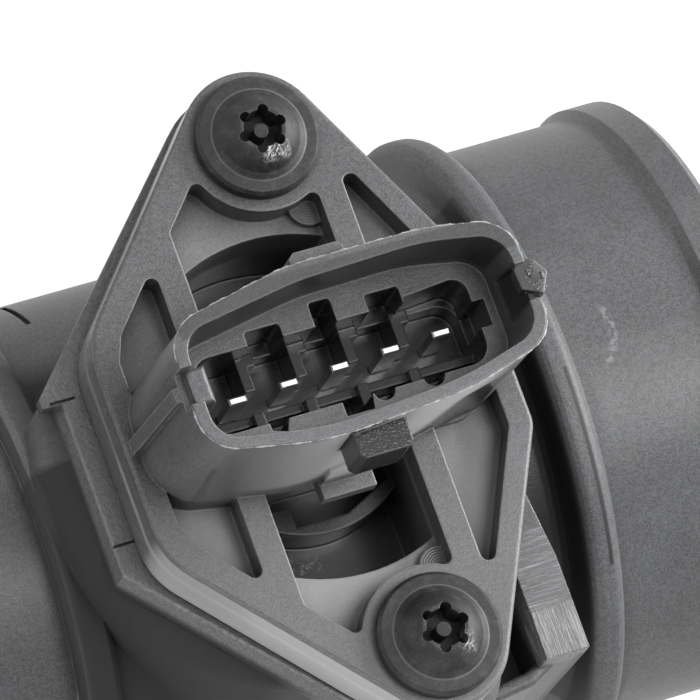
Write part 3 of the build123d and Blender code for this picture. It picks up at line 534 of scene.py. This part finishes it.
def sensor_marks(tree, where, shade, height, gloss):
    """Smooth outer walls, pocket floors, skirt and -y side with painted highlight, painted shade along the
    top edge, in the wells, socket and notch and on the far wall, turned rings with painted highlight, rubs
    and a glossy latch.
    """
    x, y, z = split(tree, where)
    walls = outer_walls(tree, x, y, z)
    lit_side = smooth_step(tree, y, -3.0 * MM, 3.0 * MM, 0.85, 0.2)
    # Painted highlight on the flange's two outer walls, far stronger on the -y side; their smoothness is real
    shade = marked(tree, shade, times(tree, walls, lit_side), "outer_wall_highlight")
    # Painted shade: a dark line just under the flange's top edge
    shade = marked(tree, shade, line_mask(tree, z, FLANGE_TOP - 0.42 * MM, 0.12 * MM), "top_edge_shade")
    height = faded(tree, height, walls, 0.7)
    gloss = shifted(tree, gloss, walls, -0.16)

    # Painted light: the upper part paler towards the -y side, where the light falls
    painted_lit_side = smooth_step(tree, y, -1.0 * MM, -11.0 * MM)
    painted_lit_side = times(tree, painted_lit_side, smooth_step(tree, z, FLANGE_TOP - 6.6 * MM, FLANGE_TOP - 3.6 * MM))
    shade = marked(tree, shade, painted_lit_side, "painted_lit_side")
    # Painted light on the pocket floors, stronger on the -y side
    floors = times(tree, smooth_step(tree, z, POCKET_FLOOR - 0.5 * MM, POCKET_FLOOR - 0.2 * MM),
                   smooth_step(tree, z, POCKET_FLOOR + 0.2 * MM, POCKET_FLOOR + 0.5 * MM, 1.0, 0.0))
    pale = times(tree, floors, smooth_step(tree, y, -1.0 * MM, 1.0 * MM, 0.42, 0.18))
    shade = marked(tree, shade, pale, "pocket_floor_light")

    # Painted highlight on the lower outer wall of the connector on the -y side
    skirt_highlight = times(tree, patch(tree, where, "skirt_highlight"), smooth_step(tree, x, 47.0 * MM, 57.0 * MM))
    skirt_highlight = times(tree, skirt_highlight, smooth_step(tree, z, FLANGE_TOP + 0.6 * MM, FLANGE_TOP + 1.9 * MM))
    shade = marked(tree, shade, skirt_highlight, "skirt_highlight")
    # Painted shade deep down in the wells
    well_shade = smooth_step(tree, z, FLANGE_TOP - 8.1 * MM, FLANGE_TOP - 5.1 * MM, 1.0, 0.0)
    shade = marked(tree, shade, well_shade, "well_shade")
    # Painted shade inside the connector's socket
    socket = patch(tree, where, "socket")
    shade = marked(tree, shade, socket, "socket")
    # Painted shade on the far inner wall of the connector
    shade = marked(tree, shade, patch(tree, where, "far_wall_shade"), "far_wall_shade")
    smooth = greatest(tree, [socket, well_shade])
    gloss = shifted(tree, gloss, smooth, -0.2)
    height = faded(tree, height, smooth, 0.7)

    rings = ejector_rings(tree, where, z)
    height = shifted(tree, height, rings, smooth_step(tree, y, -1.0 * MM, 1.0 * MM, 1.6, 0.4))
    # The turned rings are real; their pale colour, far stronger on the -y side, is painted highlight
    pale = times(tree, rings, smooth_step(tree, y, -1.0 * MM, 1.0 * MM, 0.7, 0.12))
    shade = marked(tree, shade, pale, "ejector_ring_highlight")

    rubs = greatest(tree, [patch(tree, where, name) for name in ("rub_left", "rub_middle", "rub_right")])
    dust = smooth_step(tree, noise(tree, where, 2400.0, detail=4.0, rough=0.75), 0.48, 0.66)
    shade = marked(tree, shade, times(tree, rubs, dust), "rub")

    latch = patch(tree, where, "latch")
    height = shifted(tree, height, times(tree, noise(tree, where, 3000.0, detail=1.0), latch), 1.1)
    gloss = shifted(tree, gloss, latch, -0.28)
    shade = marked(tree, shade, latch, "latch")
    # Painted shadow in the notch by the outlet
    shade = marked(tree, shade, patch(tree, where, "notch"), "notch")
    return shade, height, gloss


def driver_marks(tree, where):
    """Where the driver has bared each screw beside its socket, and a faint ring of painted highlight on its
    head.
    """
    spots = ((UPPER_SCREW, (0.5, -1.9), (0.8, 0.3)), (LOWER_SCREW, (1.2, -1.3), (0.4, 0.6)))
    spot_z = FLANGE_TOP / MM + 2.4
    ring_radius = 3.6 * MM
    bare = []
    rings = []
    for screw, (aside, down), half in spots:
        middle = (screw.x / MM + aside, screw.y / MM + down, spot_z)
        bare.append(box_mask(tree, where, middle, (*half, 0.9), 0.45))
        rings.append(line_mask(tree, span_from(tree, where, screw.x, screw.y), ring_radius, 0.1 * MM))
    return greatest(tree, bare), greatest(tree, rings)


def black_oxide(name, settings):
    """Black oxide screw steel: near black and even, with bright scratches where the driver has turned."""
    made, tree, shader = material(name)
    where = place(tree)
    edges = use(tree, "Rubbed Edges", {"Place": where, "Width": 0.1 * MM, "Broken": 0.9})
    fine = noise(tree, where, 6500.0, detail=2.0, rough=0.7)
    wear = smooth_step(tree, noise(tree, where, 900.0, detail=4.0, rough=0.7), 0.45, 0.7)
    dark = opaque((0.008, 0.008, 0.009))
    shade = mixed(tree, smooth_step(tree, fine, 0.35, 0.7), dark, opaque((0.018, 0.018, 0.019)))
    shade = marked(tree, shade, wear, "oxide_wear")
    coarse = {"Place": where, "Fineness": 7000.0, "Length": 0.12, "Turn": 2.2, "Sharp": 0.5}
    crossing = {"Place": where, "Fineness": 6300.0, "Length": 0.14, "Turn": 1.1, "Sharp": 0.54}
    scratches = greatest(tree, [use(tree, "Fine Scratches", way)["Mask"] for way in (coarse, crossing)])
    bare, ring = driver_marks(tree, where)
    bright = times(tree, greatest(tree, [scratches, edges["Mask"]]), bare)
    shade = marked(tree, shade, edges["Mask"], "oxide_edge")
    # Painted highlight: a faint pale ring on each screw head
    shade = marked(tree, shade, ring, "head_ring_highlight")
    shade = marked(tree, shade, bright, "bare_steel")
    sockets = {
        "Base Color": shade,
        "Metallic": times(tree, bright, 0.5),
        "Roughness": maths(tree, "MULTIPLY_ADD", fine, 0.2, settings.screw_rough),
        "Normal": bumped(tree, maths(tree, "ADD", bright, fine), 0.02 * MM, edges["Normal"]),
    }
    plug(tree, shader.inputs, sockets)
    shader.inputs["Specular IOR Level"].default_value = 0.22
    return made


def bright_metal(name, colour, rough):
    """Plain bright metal, drawn or rolled, with faint lines along one direction."""
    made, tree, shader = material(name)
    where = place(tree)
    lines = noise(tree, moved(tree, where, (1.0, 0.05, 0.05)), 1800.0, detail=2.0)
    cloud = noise(tree, where, 400.0)
    shade = mixed(tree, smooth_step(tree, cloud, 0.35, 0.7), opaque(colour), opaque(colour, 0.72))
    gloss = maths(tree, "MULTIPLY_ADD", cloud, 0.16, rough)
    normal = bumped(tree, lines, 0.004 * MM)
    plug(tree, shader.inputs, {"Base Color": shade, "Roughness": gloss, "Normal": normal})
    shader.inputs["Metallic"].default_value = 1.0
    return made


def seal_rubber(name):
    """Matt rubber with a dusty haze."""
    made, tree, shader = material(name)
    where = place(tree)
    dusty = smooth_step(tree, noise(tree, where, 500.0, detail=4.0), 0.4, 0.75)
    shade = mixed(tree, dusty, grey(0.018), opaque((0.05, 0.05, 0.052)))
    normal = bumped(tree, noise(tree, where, 3000.0), 0.01 * MM)
    plug(tree, shader.inputs, {"Base Color": shade, "Normal": normal})
    shader.inputs["Roughness"].default_value = 0.7
    return made


def fired_board(name):
    """White ceramic with printed tracks, from a wave, and dark resistor patches, from square cells."""
    made, tree, shader = material(name)
    where = place(tree)
    cells = put(tree, "ShaderNodeTexVoronoi", {"Vector": where, "Scale": 700.0}, distance="CHEBYCHEV")
    pick = put(tree, "ShaderNodeSeparateColor", {0: cells.outputs["Color"]}).outputs[0]
    inside = maths(tree, "LESS_THAN", cells.outputs["Distance"], 0.32)
    resistor = times(tree, maths(tree, "LESS_THAN", pick, 0.3), inside)
    lines = put(tree, "ShaderNodeTexWave", {"Vector": where, "Scale": 260.0, "Distortion": 3.0}).outputs[1]
    track = maths(tree, "GREATER_THAN", lines, 0.86)
    shade = mixed(tree, track, opaque((0.78, 0.78, 0.74)), opaque((0.45, 0.42, 0.36)))
    shade = mixed(tree, resistor, shade, opaque((0.06, 0.07, 0.06)))
    normal = bumped(tree, maths(tree, "ADD", track, resistor), 0.02 * MM)
    plug(tree, shader.inputs, {"Base Color": shade, "Normal": normal})
    shader.inputs["Roughness"].default_value = 0.45
    return made


def small_part(name, colour, rough, fineness):
    """A small moulded, dipped or polished part: one colour, clouded and lightly grained."""
    made, tree, shader = material(name)
    cloud = noise(tree, place(tree), fineness)
    shade = mixed(tree, smooth_step(tree, cloud, 0.4, 0.8), opaque(colour), opaque(colour, 1.5))
    gloss = maths(tree, "MULTIPLY_ADD", cloud, 0.15, rough)
    normal = bumped(tree, cloud, 0.006 * MM)
    plug(tree, shader.inputs, {"Base Color": shade, "Roughness": gloss, "Normal": normal})
    return made


def dress(made, *names):
    """A material given to CAD nodes, in every slot of each."""
    for name in names:
        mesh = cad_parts[name].data
        mesh.materials.clear()
        mesh.materials.append(made)


# Mesh helpers


def linked(name, data):
    """An object for a mesh, a lamp or a camera, linked to the scene."""
    made = bpy.data.objects.new(name, data)
    bpy.context.scene.collection.objects.link(made)
    return made


def surface(name, grids, made, closed_along=False, smooth=True):
    """One mesh from grids of points, each of shape (along, round, 3), closed round and, if asked, along."""
    points = []
    faces = []
    start = 0
    for grid in grids:
        rows, columns = grid.shape[:2]
        index = start + np.arange(rows * columns).reshape(rows, columns)
        index = np.hstack([index, index[:, :1]])
        if closed_along:
            index = np.vstack([index, index[:1]])
        quads = np.stack([index[:-1, :-1], index[:-1, 1:], index[1:, 1:], index[1:, :-1]], -1)
        faces.extend(quads.reshape(-1, 4).tolist())
        if not closed_along:
            faces.append(index[0, :-1][::-1].tolist())
            faces.append(index[-1, :-1].tolist())
        points.append(grid.reshape(-1, 3))
        start += rows * columns
    mesh = bpy.data.meshes.new(name)
    mesh.from_pydata(np.concatenate(points).tolist(), [], faces)
    mesh.validate()
    mesh.update()
    mesh.polygons.foreach_set("use_smooth", [smooth] * len(mesh.polygons))
    mesh.materials.append(made)
    piece = linked(name, mesh)
    outward(piece)
    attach(piece, "root")
    return piece


def outward(piece):
    """Faces turned to point out of the piece."""
    shell = bmesh.new()
    shell.from_mesh(piece.data)
    bmesh.ops.recalc_face_normals(shell, faces=shell.faces)
    shell.to_mesh(piece.data)
    shell.free()


def unit(vectors):
    """Rows of vectors, each brought to a length of one."""
    return vectors / np.linalg.norm(vectors, axis=1, keepdims=True)


def angles_round(count):
    """The angles of evenly spaced points round a circle."""
    return np.linspace(0, 2 * np.pi, count, endpoint=False)


def tube_along(path, radius, sides):
    """A tube round a path: at each point a circle of the radius, in the plane across the path's direction."""
    ahead = unit(np.gradient(path, axis=0))
    up = (0.0, 0.0, 1.0) if np.abs(ahead[:, 2]).max() < 0.9 else (1.0, 0.0, 0.0)
    side = unit(np.cross(ahead, up))
    top = np.cross(side, ahead)
    angle = angles_round(sides)[None, :, None]
    radius = np.asarray(radius, float).reshape(-1, 1, 1)
    return path[:, None] + radius * (np.cos(angle) * side[:, None] + np.sin(angle) * top[:, None])


def rounded_loop(corners, radii, step):
    """A closed loop with round corners: straight runs joined by arcs that touch both runs, evenly spaced."""
    points_per_arc = 24
    before = unit(np.roll(corners, 1, 0) - corners)
    after = unit(np.roll(corners, -1, 0) - corners)
    half = np.arccos((before * after).sum(1)) / 2
    centre = corners + unit(before + after) * (radii / np.sin(half))[:, None]
    start = corners + before * (radii / np.tan(half))[:, None] - centre
    side = -np.sign(before[:, 0] * after[:, 1] - before[:, 1] * after[:, 0])
    angle = (side * (np.pi - 2 * half))[:, None] * np.linspace(0, 1, points_per_arc)
    x = start[:, :1] * np.cos(angle) - start[:, 1:] * np.sin(angle)
    y = start[:, :1] * np.sin(angle) + start[:, 1:] * np.cos(angle)
    points = (np.stack([x, y], -1) + centre[:, None]).reshape(-1, 2)
    closed = np.vstack([points, points[:1]])
    length = np.r_[0, np.cumsum(np.linalg.norm(np.diff(closed, axis=0), axis=1))]
    even = np.linspace(0, length[-1], int(length[-1] / step), endpoint=False)
    return np.stack([np.interp(even, length, closed[:, i]) for i in range(2)], -1)


# Settings


class PlasticSettings(bpy.types.PropertyGroup):
    """Sizes and colours of the moulded plastic."""
    tube_colour: bpy.props.FloatVectorProperty(
        name="Tube", description="Colour of the measuring tube", subtype="COLOR",
        default=(0.052, 0.053, 0.055))
    sensor_colour: bpy.props.FloatVectorProperty(
        name="Sensor", description="Colour of the flange and connector", subtype="COLOR",
        default=(0.058, 0.059, 0.061))
    rough: bpy.props.FloatProperty(
        name="Roughness", description="Roughness of the plastic", default=0.38, min=0.0, max=1.0)
    grain: bpy.props.FloatProperty(
        name="Grain", description="Fineness of the moulded grain, in waves per metre",
        default=7000.0, min=100.0)
    specks: bpy.props.FloatProperty(
        name="Fibre Ends", description="Share of the cells that show a pale fibre end",
        default=0.22, min=0.0, max=1.0)
    depth: bpy.props.FloatProperty(
        name="Grain Depth", description="Depth of the grain, in millimetres", default=0.02, min=0.0)
    edge: bpy.props.FloatProperty(
        name="Edge Radius", description="Radius that edges are rubbed to, in millimetres",
        default=0.22, min=0.0)


class MetalSettings(bpy.types.PropertyGroup):
    """Finish and thread of the screws, and the wires of the woven screen."""
    screw_rough: bpy.props.FloatProperty(
        name="Screw Roughness", description="Roughness of the black oxide", default=0.42, min=0.0, max=1.0)
    wire: bpy.props.FloatProperty(
        name="Wire", description="Diameter of a wire of the screen, in millimetres", default=0.22, min=0.05)
    gap: bpy.props.FloatProperty(
        name="Pitch", description="Distance between wires of the screen, in millimetres",
        default=1.35, min=0.3)
    thread_pitch: bpy.props.FloatProperty(
        name="Thread Pitch", description="Pitch of the screw threads, in millimetres", default=1.6, min=0.3)


class LightSettings(bpy.types.PropertyGroup):
    """The power of each lamp, and the surroundings."""
    right: bpy.props.FloatProperty(
        name="Right", description="Power of the softbox on the outlet side", subtype="POWER", default=6.0)
    over: bpy.props.FloatProperty(
        name="Overhead", description="Power of the softbox overhead", subtype="POWER", default=1.7)
    front: bpy.props.FloatProperty(
        name="Front", description="Power of the low front softbox", subtype="POWER", default=1.5)
    back: bpy.props.FloatProperty(
        name="Back", description="Power of the high back softbox", subtype="POWER", default=1.1)
    left: bpy.props.FloatProperty(
        name="Left", description="Power of the inlet side softbox", subtype="POWER", default=0.7)
    strip: bpy.props.FloatProperty(
        name="Strip", description="Power of the low strip behind", subtype="POWER", default=0.8)
    world: bpy.props.FloatProperty(
        name="Surroundings", description="Strength of the pale surroundings", default=0.2)


# Operators


class METER_OT_plastic(bpy.types.Operator):
    """Give the tube, the sensor and the covers their glass-filled plastic"""
    bl_idname = "meter.plastic"
    bl_label = "Finish Plastic"

    def execute(self, context):
        settings = context.scene.meter_plastic
        tube = (settings.tube_colour, (0.16, 0.16, 0.165))
        sensor = (settings.sensor_colour, (0.27, 0.27, 0.275))
        dress(moulded_plastic("tube_plastic_finish", *tube, settings, housing_marks), "housing_tube")
        dress(moulded_plastic("sensor_plastic_finish", *sensor, settings, sensor_marks),
              "sensor_body", "electronics_cover", "channel_cover")
        dress(moulded_plastic("grid_plastic_finish", *tube, settings), "flow_grid")
        return {"FINISHED"}


class METER_OT_metal(bpy.types.Operator):
    """Give the screws their black oxide, and the terminals, leads and carriers their metal"""
    bl_idname = "meter.metal"
    bl_label = "Finish Metal"

    def execute(self, context):
        dress(black_oxide("screw_steel_finish", context.scene.meter_metal), "screw_upper", "screw_lower")
        terminals = [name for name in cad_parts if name.startswith("terminal_")]
        dress(bright_metal("terminal_metal_finish", (0.8, 0.79, 0.76), 0.22), *terminals)
        dress(bright_metal("lead_wire_finish", (0.7, 0.7, 0.68), 0.28),
              "thermistor_lead_1", "thermistor_lead_2")
        dress(bright_metal("carrier_steel_finish", (0.6, 0.6, 0.6), 0.3), "base_plate", "sensor_carrier")
        return {"FINISHED"}


class METER_OT_inner(bpy.types.Operator):
    """Give the seal, the board, the chips and the bead their finishes"""
    bl_idname = "meter.inner"
    bl_label = "Finish Inner Pieces"

    def execute(self, context):
        dress(seal_rubber("seal_rubber_finish"), "seal_ring")
        dress(fired_board("board_ceramic_finish"), "circuit_board")
        dress(small_part("chip_black_finish", (0.03, 0.03, 0.033), 0.5, 2500.0), "evaluation_chip")
        dress(small_part("film_chip_finish", (0.2, 0.16, 0.26), 0.15, 900.0), "sensor_chip")
        dress(small_part("thermistor_bead_finish", (0.05, 0.05, 0.05), 0.25, 1200.0), "thermistor")
        return {"FINISHED"}


class METER_OT_screen(bpy.types.Operator):
    """Weave the wire screen of the inlet in its frame"""
    bl_idname = "meter.screen"
    bl_label = "Weave Screen"

    def execute(self, context):
        settings = context.scene.meter_metal
        made = bright_metal("mesh_steel_finish", (0.65, 0.65, 0.65), 0.3)
        weave(made, settings.wire * MM, settings.gap * MM)
        return {"FINISHED"}


def weave(made, wire, pitch):
    """Wires both ways across the ring: each swings by half a wire, as a cosine with half a wave per pitch."""
    low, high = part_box("wire_mesh")
    outer = (high.y - low.y) / 2
    inner = outer - 1.1 * MM
    wire_end = inner + 0.5 * MM
    middle = (low.x + high.x) / 2
    count = int(inner / pitch)
    wires = []
    for k in range(-count, count + 1):
        level = k * pitch
        reach = math.sqrt(wire_end ** 2 - level ** 2)
        crossings = 2 * int(reach / pitch) + 1
        along = np.linspace(-reach, reach, 4 * crossings + 1)
        lift = 0.5 * wire * np.cos(np.pi * along / pitch + np.pi * k)
        flat = np.full_like(along, level)
        wires.append(tube_along(np.stack([middle + lift, along, flat], -1), wire / 2, 5))
        wires.append(tube_along(np.stack([middle - lift, flat, along], -1), wire / 2, 5))
    screen = surface("woven_screen", wires, made)
    surface("screen_ring", [ring_grid(low.x, high.x, inner, outer)], made, closed_along=True)
    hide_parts("wire_mesh")


def ring_grid(x0, x1, inner, outer):
    """A flat ring about the tube axis: a rectangle of length and width with nipped corners, turned round."""
    nip = 0.1 * MM
    x, radius = np.transpose([
        (x0 + nip, inner), (x1 - nip, inner), (x1, inner + nip), (x1, outer - nip),
        (x1 - nip, outer), (x0 + nip, outer), (x0, outer - nip), (x0, inner + nip)])
    angle = angles_round(128)[:, None]
    return np.stack([x + 0 * angle, radius * np.cos(angle), radius * np.sin(angle)], -1)


class METER_OT_threads(bpy.types.Operator):
    """Wind the thread of each screw round its core"""
    bl_idname = "meter.threads"
    bl_label = "Wind Threads"

    def execute(self, context):
        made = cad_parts["screw_upper"].data.materials[0]
        pitch = context.scene.meter_metal.thread_pitch * MM
        for name in ("screw_upper", "screw_lower"):
            wind_thread(name, made, pitch)
        return {"FINISHED"}


def wind_thread(name, made, pitch):
    """A ridge along a helix: a small triangle across it, which fades to nothing at both ends."""
    low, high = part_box(name)
    centre = (low + high) / 2
    core = 1.9 * MM
    crest = 2.2 * MM
    flank = core + 0.02 * MM
    bottom = low.z + 1.6 * MM
    top = FLANGE_TOP - 1.2 * MM
    points_per_turn = 28
    turns = (top - bottom) / pitch
    share = np.linspace(0, 1, int(turns * points_per_turn))[:, None]
    angle = 2 * np.pi * turns * share
    fade = np.clip(np.minimum(share, 1 - share) * 8, 0.02, 1)
    radius = core + (np.array([core, flank, crest, flank]) - core) * fade
    height = bottom + (top - bottom) * share + np.array([-0.34, -0.3, 0.0, 0.3]) * pitch * fade
    ridge = np.stack([centre.x + radius * np.cos(angle), centre.y + radius * np.sin(angle), height], -1)
    surface(name + "_thread", [ridge], made, smooth=False)


class METER_OT_flash(bpy.types.Operator):
    """Run the moulding flash round the rim of the connector, pale as a painted highlight, and roughen the
    broken stub
    """
    bl_idname = "meter.flash"
    bl_label = "Add Moulding Flash"

    def execute(self, context):
        # The flash bead is real; its pale colour is a painted highlight along the rim's outer edge
        rim_flash(small_part("flash_finish", (0.2, 0.2, 0.205), 0.45, 2600.0))
        broken_stub(small_part("stub_finish", (0.05, 0.05, 0.052), 0.4, 2600.0))
        return {"FINISHED"}


def rim_flash(made):
    """A thin uneven lip on the outer edge of the rim: a small tube whose radius follows a sum of sines."""
    x = SCREW_X / MM
    corners = np.array(RIM_CORNERS)
    loop = rounded_loop(corners[:, :2] + (x, 0.0), corners[:, 2], FLASH_STEP)
    centre = loop.mean(0)
    spread = 1.004
    loop = centre + (loop - centre) * spread
    inlet_notch = (loop[:, 0] < x - 14.0) & (loop[:, 1] > -1.5) & (loop[:, 1] < 1.6)
    outlet_notch = (loop[:, 0] > x + 10.3) & (loop[:, 1] > -1.1) & (loop[:, 1] < 2.4)
    notch = inlet_notch | outlet_notch
    order = np.arange(len(loop))
    wave = 0.46 + 0.26 * np.sin(order * 0.29) + 0.2 * np.sin(order * 0.83 + 1) + 0.16 * np.sin(order * 2.31)
    radius = FLASH_RADIUS * np.clip(wave, 0.12, 1.0)
    grids = []
    for start in np.flatnonzero(notch & ~np.roll(notch, -1)):
        run = np.roll(order, -(start + 1))
        keep = run[:np.flatnonzero(notch[run])[0]]
        count = np.arange(len(keep))
        ease = np.clip(np.minimum(count, count[::-1]) / 4, 0.2, 1)
        path = np.column_stack([loop[keep], np.full(len(keep), RIM_TOP / MM - FLASH_RADIUS)])
        grids.append(tube_along(path * MM, radius[keep] * ease * MM, 6))
    surface("rim_flash", grids, made)


def broken_stub(made):
    """The torn plastic beside the outlet notch: small balls whose radius is roughened by seeded waves."""
    rim = np.array((SCREW_X, 0.0, RIM_TOP)) / MM
    waves_per_lump = 12
    pole = 0.03
    chance = np.random.default_rng(7)
    down = np.linspace(pole, np.pi - pole, 22)[:, None]
    around = angles_round(32)[None, :]
    ball = np.stack([np.sin(down) * np.cos(around), np.sin(down) * np.sin(around),
                     np.cos(down) + 0 * around], -1)
    grids = []
    for centre, size in STUB_LUMPS:
        rough = np.ones(ball.shape[:2])
        for _ in range(waves_per_lump):
            wave = chance.normal(size=3) * chance.uniform(3, 14)
            rough += 0.07 * np.sin(ball @ wave + chance.uniform(0, 6.3))
        grids.append((rim + centre + ball * rough[..., None] * size) * MM)
    surface("broken_stub", grids, made, smooth=False)


class METER_OT_stage(bpy.types.Operator):
    """Set the floor, the lamps, the surroundings and the camera"""
    bl_idname = "meter.stage"
    bl_label = "Set Stage"

    def execute(self, context):
        settings = context.scene.meter_light
        lay_floor()
        hang_lamps(settings)
        surround(context.scene, settings)
        aim_camera(context.scene)
        context.scene.view_settings.view_transform = "Standard"
        return {"FINISHED"}


def seen_directly(tree):
    """1 for rays from the camera and for mirrored and transmitted ones, and 0 for diffuse and shadow rays."""
    path = put(tree, "ShaderNodeLightPath").outputs
    return greatest(tree, [path["Is Camera Ray"], path["Is Glossy Ray"], path["Is Transmission Ray"]])


def lay_floor():
    """A wide flat floor under the tube, near white to the eye, and shaded where the part stands over it."""
    steps = np.linspace(-FLOOR_REACH, FLOOR_REACH, 3)
    x, y = np.meshgrid(steps, steps, indexing="ij")
    points = np.stack([x, y, np.full_like(x, FLOOR_Z)], -1).reshape(-1, 3)
    index = np.arange(x.size).reshape(x.shape)
    quads = np.stack([index[:-1, :-1], index[1:, :-1], index[1:, 1:], index[:-1, 1:]], -1).reshape(-1, 4)
    mesh = bpy.data.meshes.new("floor")
    mesh.from_pydata(points.tolist(), [], quads.tolist())
    made, tree, shader = material("floor_finish")
    tone = noise(tree, place(tree), 3.0, detail=2.0)
    plug(tree, shader.inputs, {"Base Color": mixed(tree, tone, grey(0.62), grey(0.66)), "Roughness": 0.8})
    glow = put(tree, "ShaderNodeEmission", {"Color": grey(1.0), "Strength": 1.0}).outputs[0]
    share = times(tree, seen_directly(tree), 0.72)
    blend = put(tree, "ShaderNodeMixShader", {0: share, 1: shader.outputs[0], 2: glow})
    tree.links.new(blend.outputs[0], tree.nodes["Material Output"].inputs["Surface"])
    mesh.materials.append(made)
    linked("floor", mesh)


def hang_lamps(settings):
    """Softboxes round and over the part, and a low strip behind, all turned to one point below the screws."""
    for power, name, spot, size in LAMPS:
        light = bpy.data.lights.new(name, "AREA")
        light.shape = "RECTANGLE"
        light.size, light.size_y = size
        light.energy = getattr(settings, power)
        way = (Vector(LAMP_AIM) - Vector(spot)).to_track_quat("-Z", "Y")
        linked(name, light).matrix_world = Matrix.Translation(spot) @ way.to_matrix().to_4x4()


def surround(scene, settings):
    """Plain surroundings: white to the eye and in reflections, dimmer as light."""
    world = bpy.data.worlds.new("surroundings")
    world.use_nodes = True
    scene.world = world
    tree = world.node_tree
    strength = maths(tree, "MULTIPLY_ADD", seen_directly(tree), 1.0 - settings.world, settings.world)
    plug(tree, tree.nodes["Background"].inputs, {"Color": grey(1.0), "Strength": strength})


def aim_camera(scene):
    """The camera, with the place and the lens that fit the photograph."""
    lens = bpy.data.cameras.new("view")
    lens.sensor_width = CAMERA_SENSOR
    lens.lens = CAMERA_LENS
    lens.clip_start = 0.01
    lens.clip_end = 20.0
    camera = linked("view", lens)
    camera.matrix_world = Matrix(CAMERA_PLACE)
    scene.camera = camera


class METER_PT_panel(bpy.types.Panel):
    """The steps, one button each, and their settings"""
    bl_label = "Airflow Meter"
    bl_idname = "METER_PT_panel"
    bl_space_type = "VIEW_3D"
    bl_region_type = "UI"
    bl_category = "Airflow Meter"

    def draw(self, context):
        for step in STEPS:
            self.layout.operator(step.bl_idname)
        for name in GROUPS:
            group = getattr(context.scene, name)
            box = self.layout.box()
            for key in group.__annotations__:
                box.prop(group, key)


STEPS = (METER_OT_plastic, METER_OT_metal, METER_OT_inner, METER_OT_screen, METER_OT_threads,
         METER_OT_flash, METER_OT_stage)
GROUPS = {"meter_plastic": PlasticSettings, "meter_metal": MetalSettings, "meter_light": LightSettings}


def register():
    """Add the settings, the operators and the panel."""
    for name, group in GROUPS.items():
        bpy.utils.register_class(group)
        setattr(bpy.types.Scene, name, bpy.props.PointerProperty(type=group))
    for step in STEPS + (METER_PT_panel,):
        bpy.utils.register_class(step)


def unregister():
    """Take them out again."""
    for step in (METER_PT_panel,) + STEPS:
        bpy.utils.unregister_class(step)
    for name, group in GROUPS.items():
        delattr(bpy.types.Scene, name)
        bpy.utils.unregister_class(group)


def main():
    """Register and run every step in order."""
    register()
    for step in STEPS:
        getattr(bpy.ops.meter, step.bl_idname.removeprefix("meter."))()


if __name__ == "__main__":
    main()
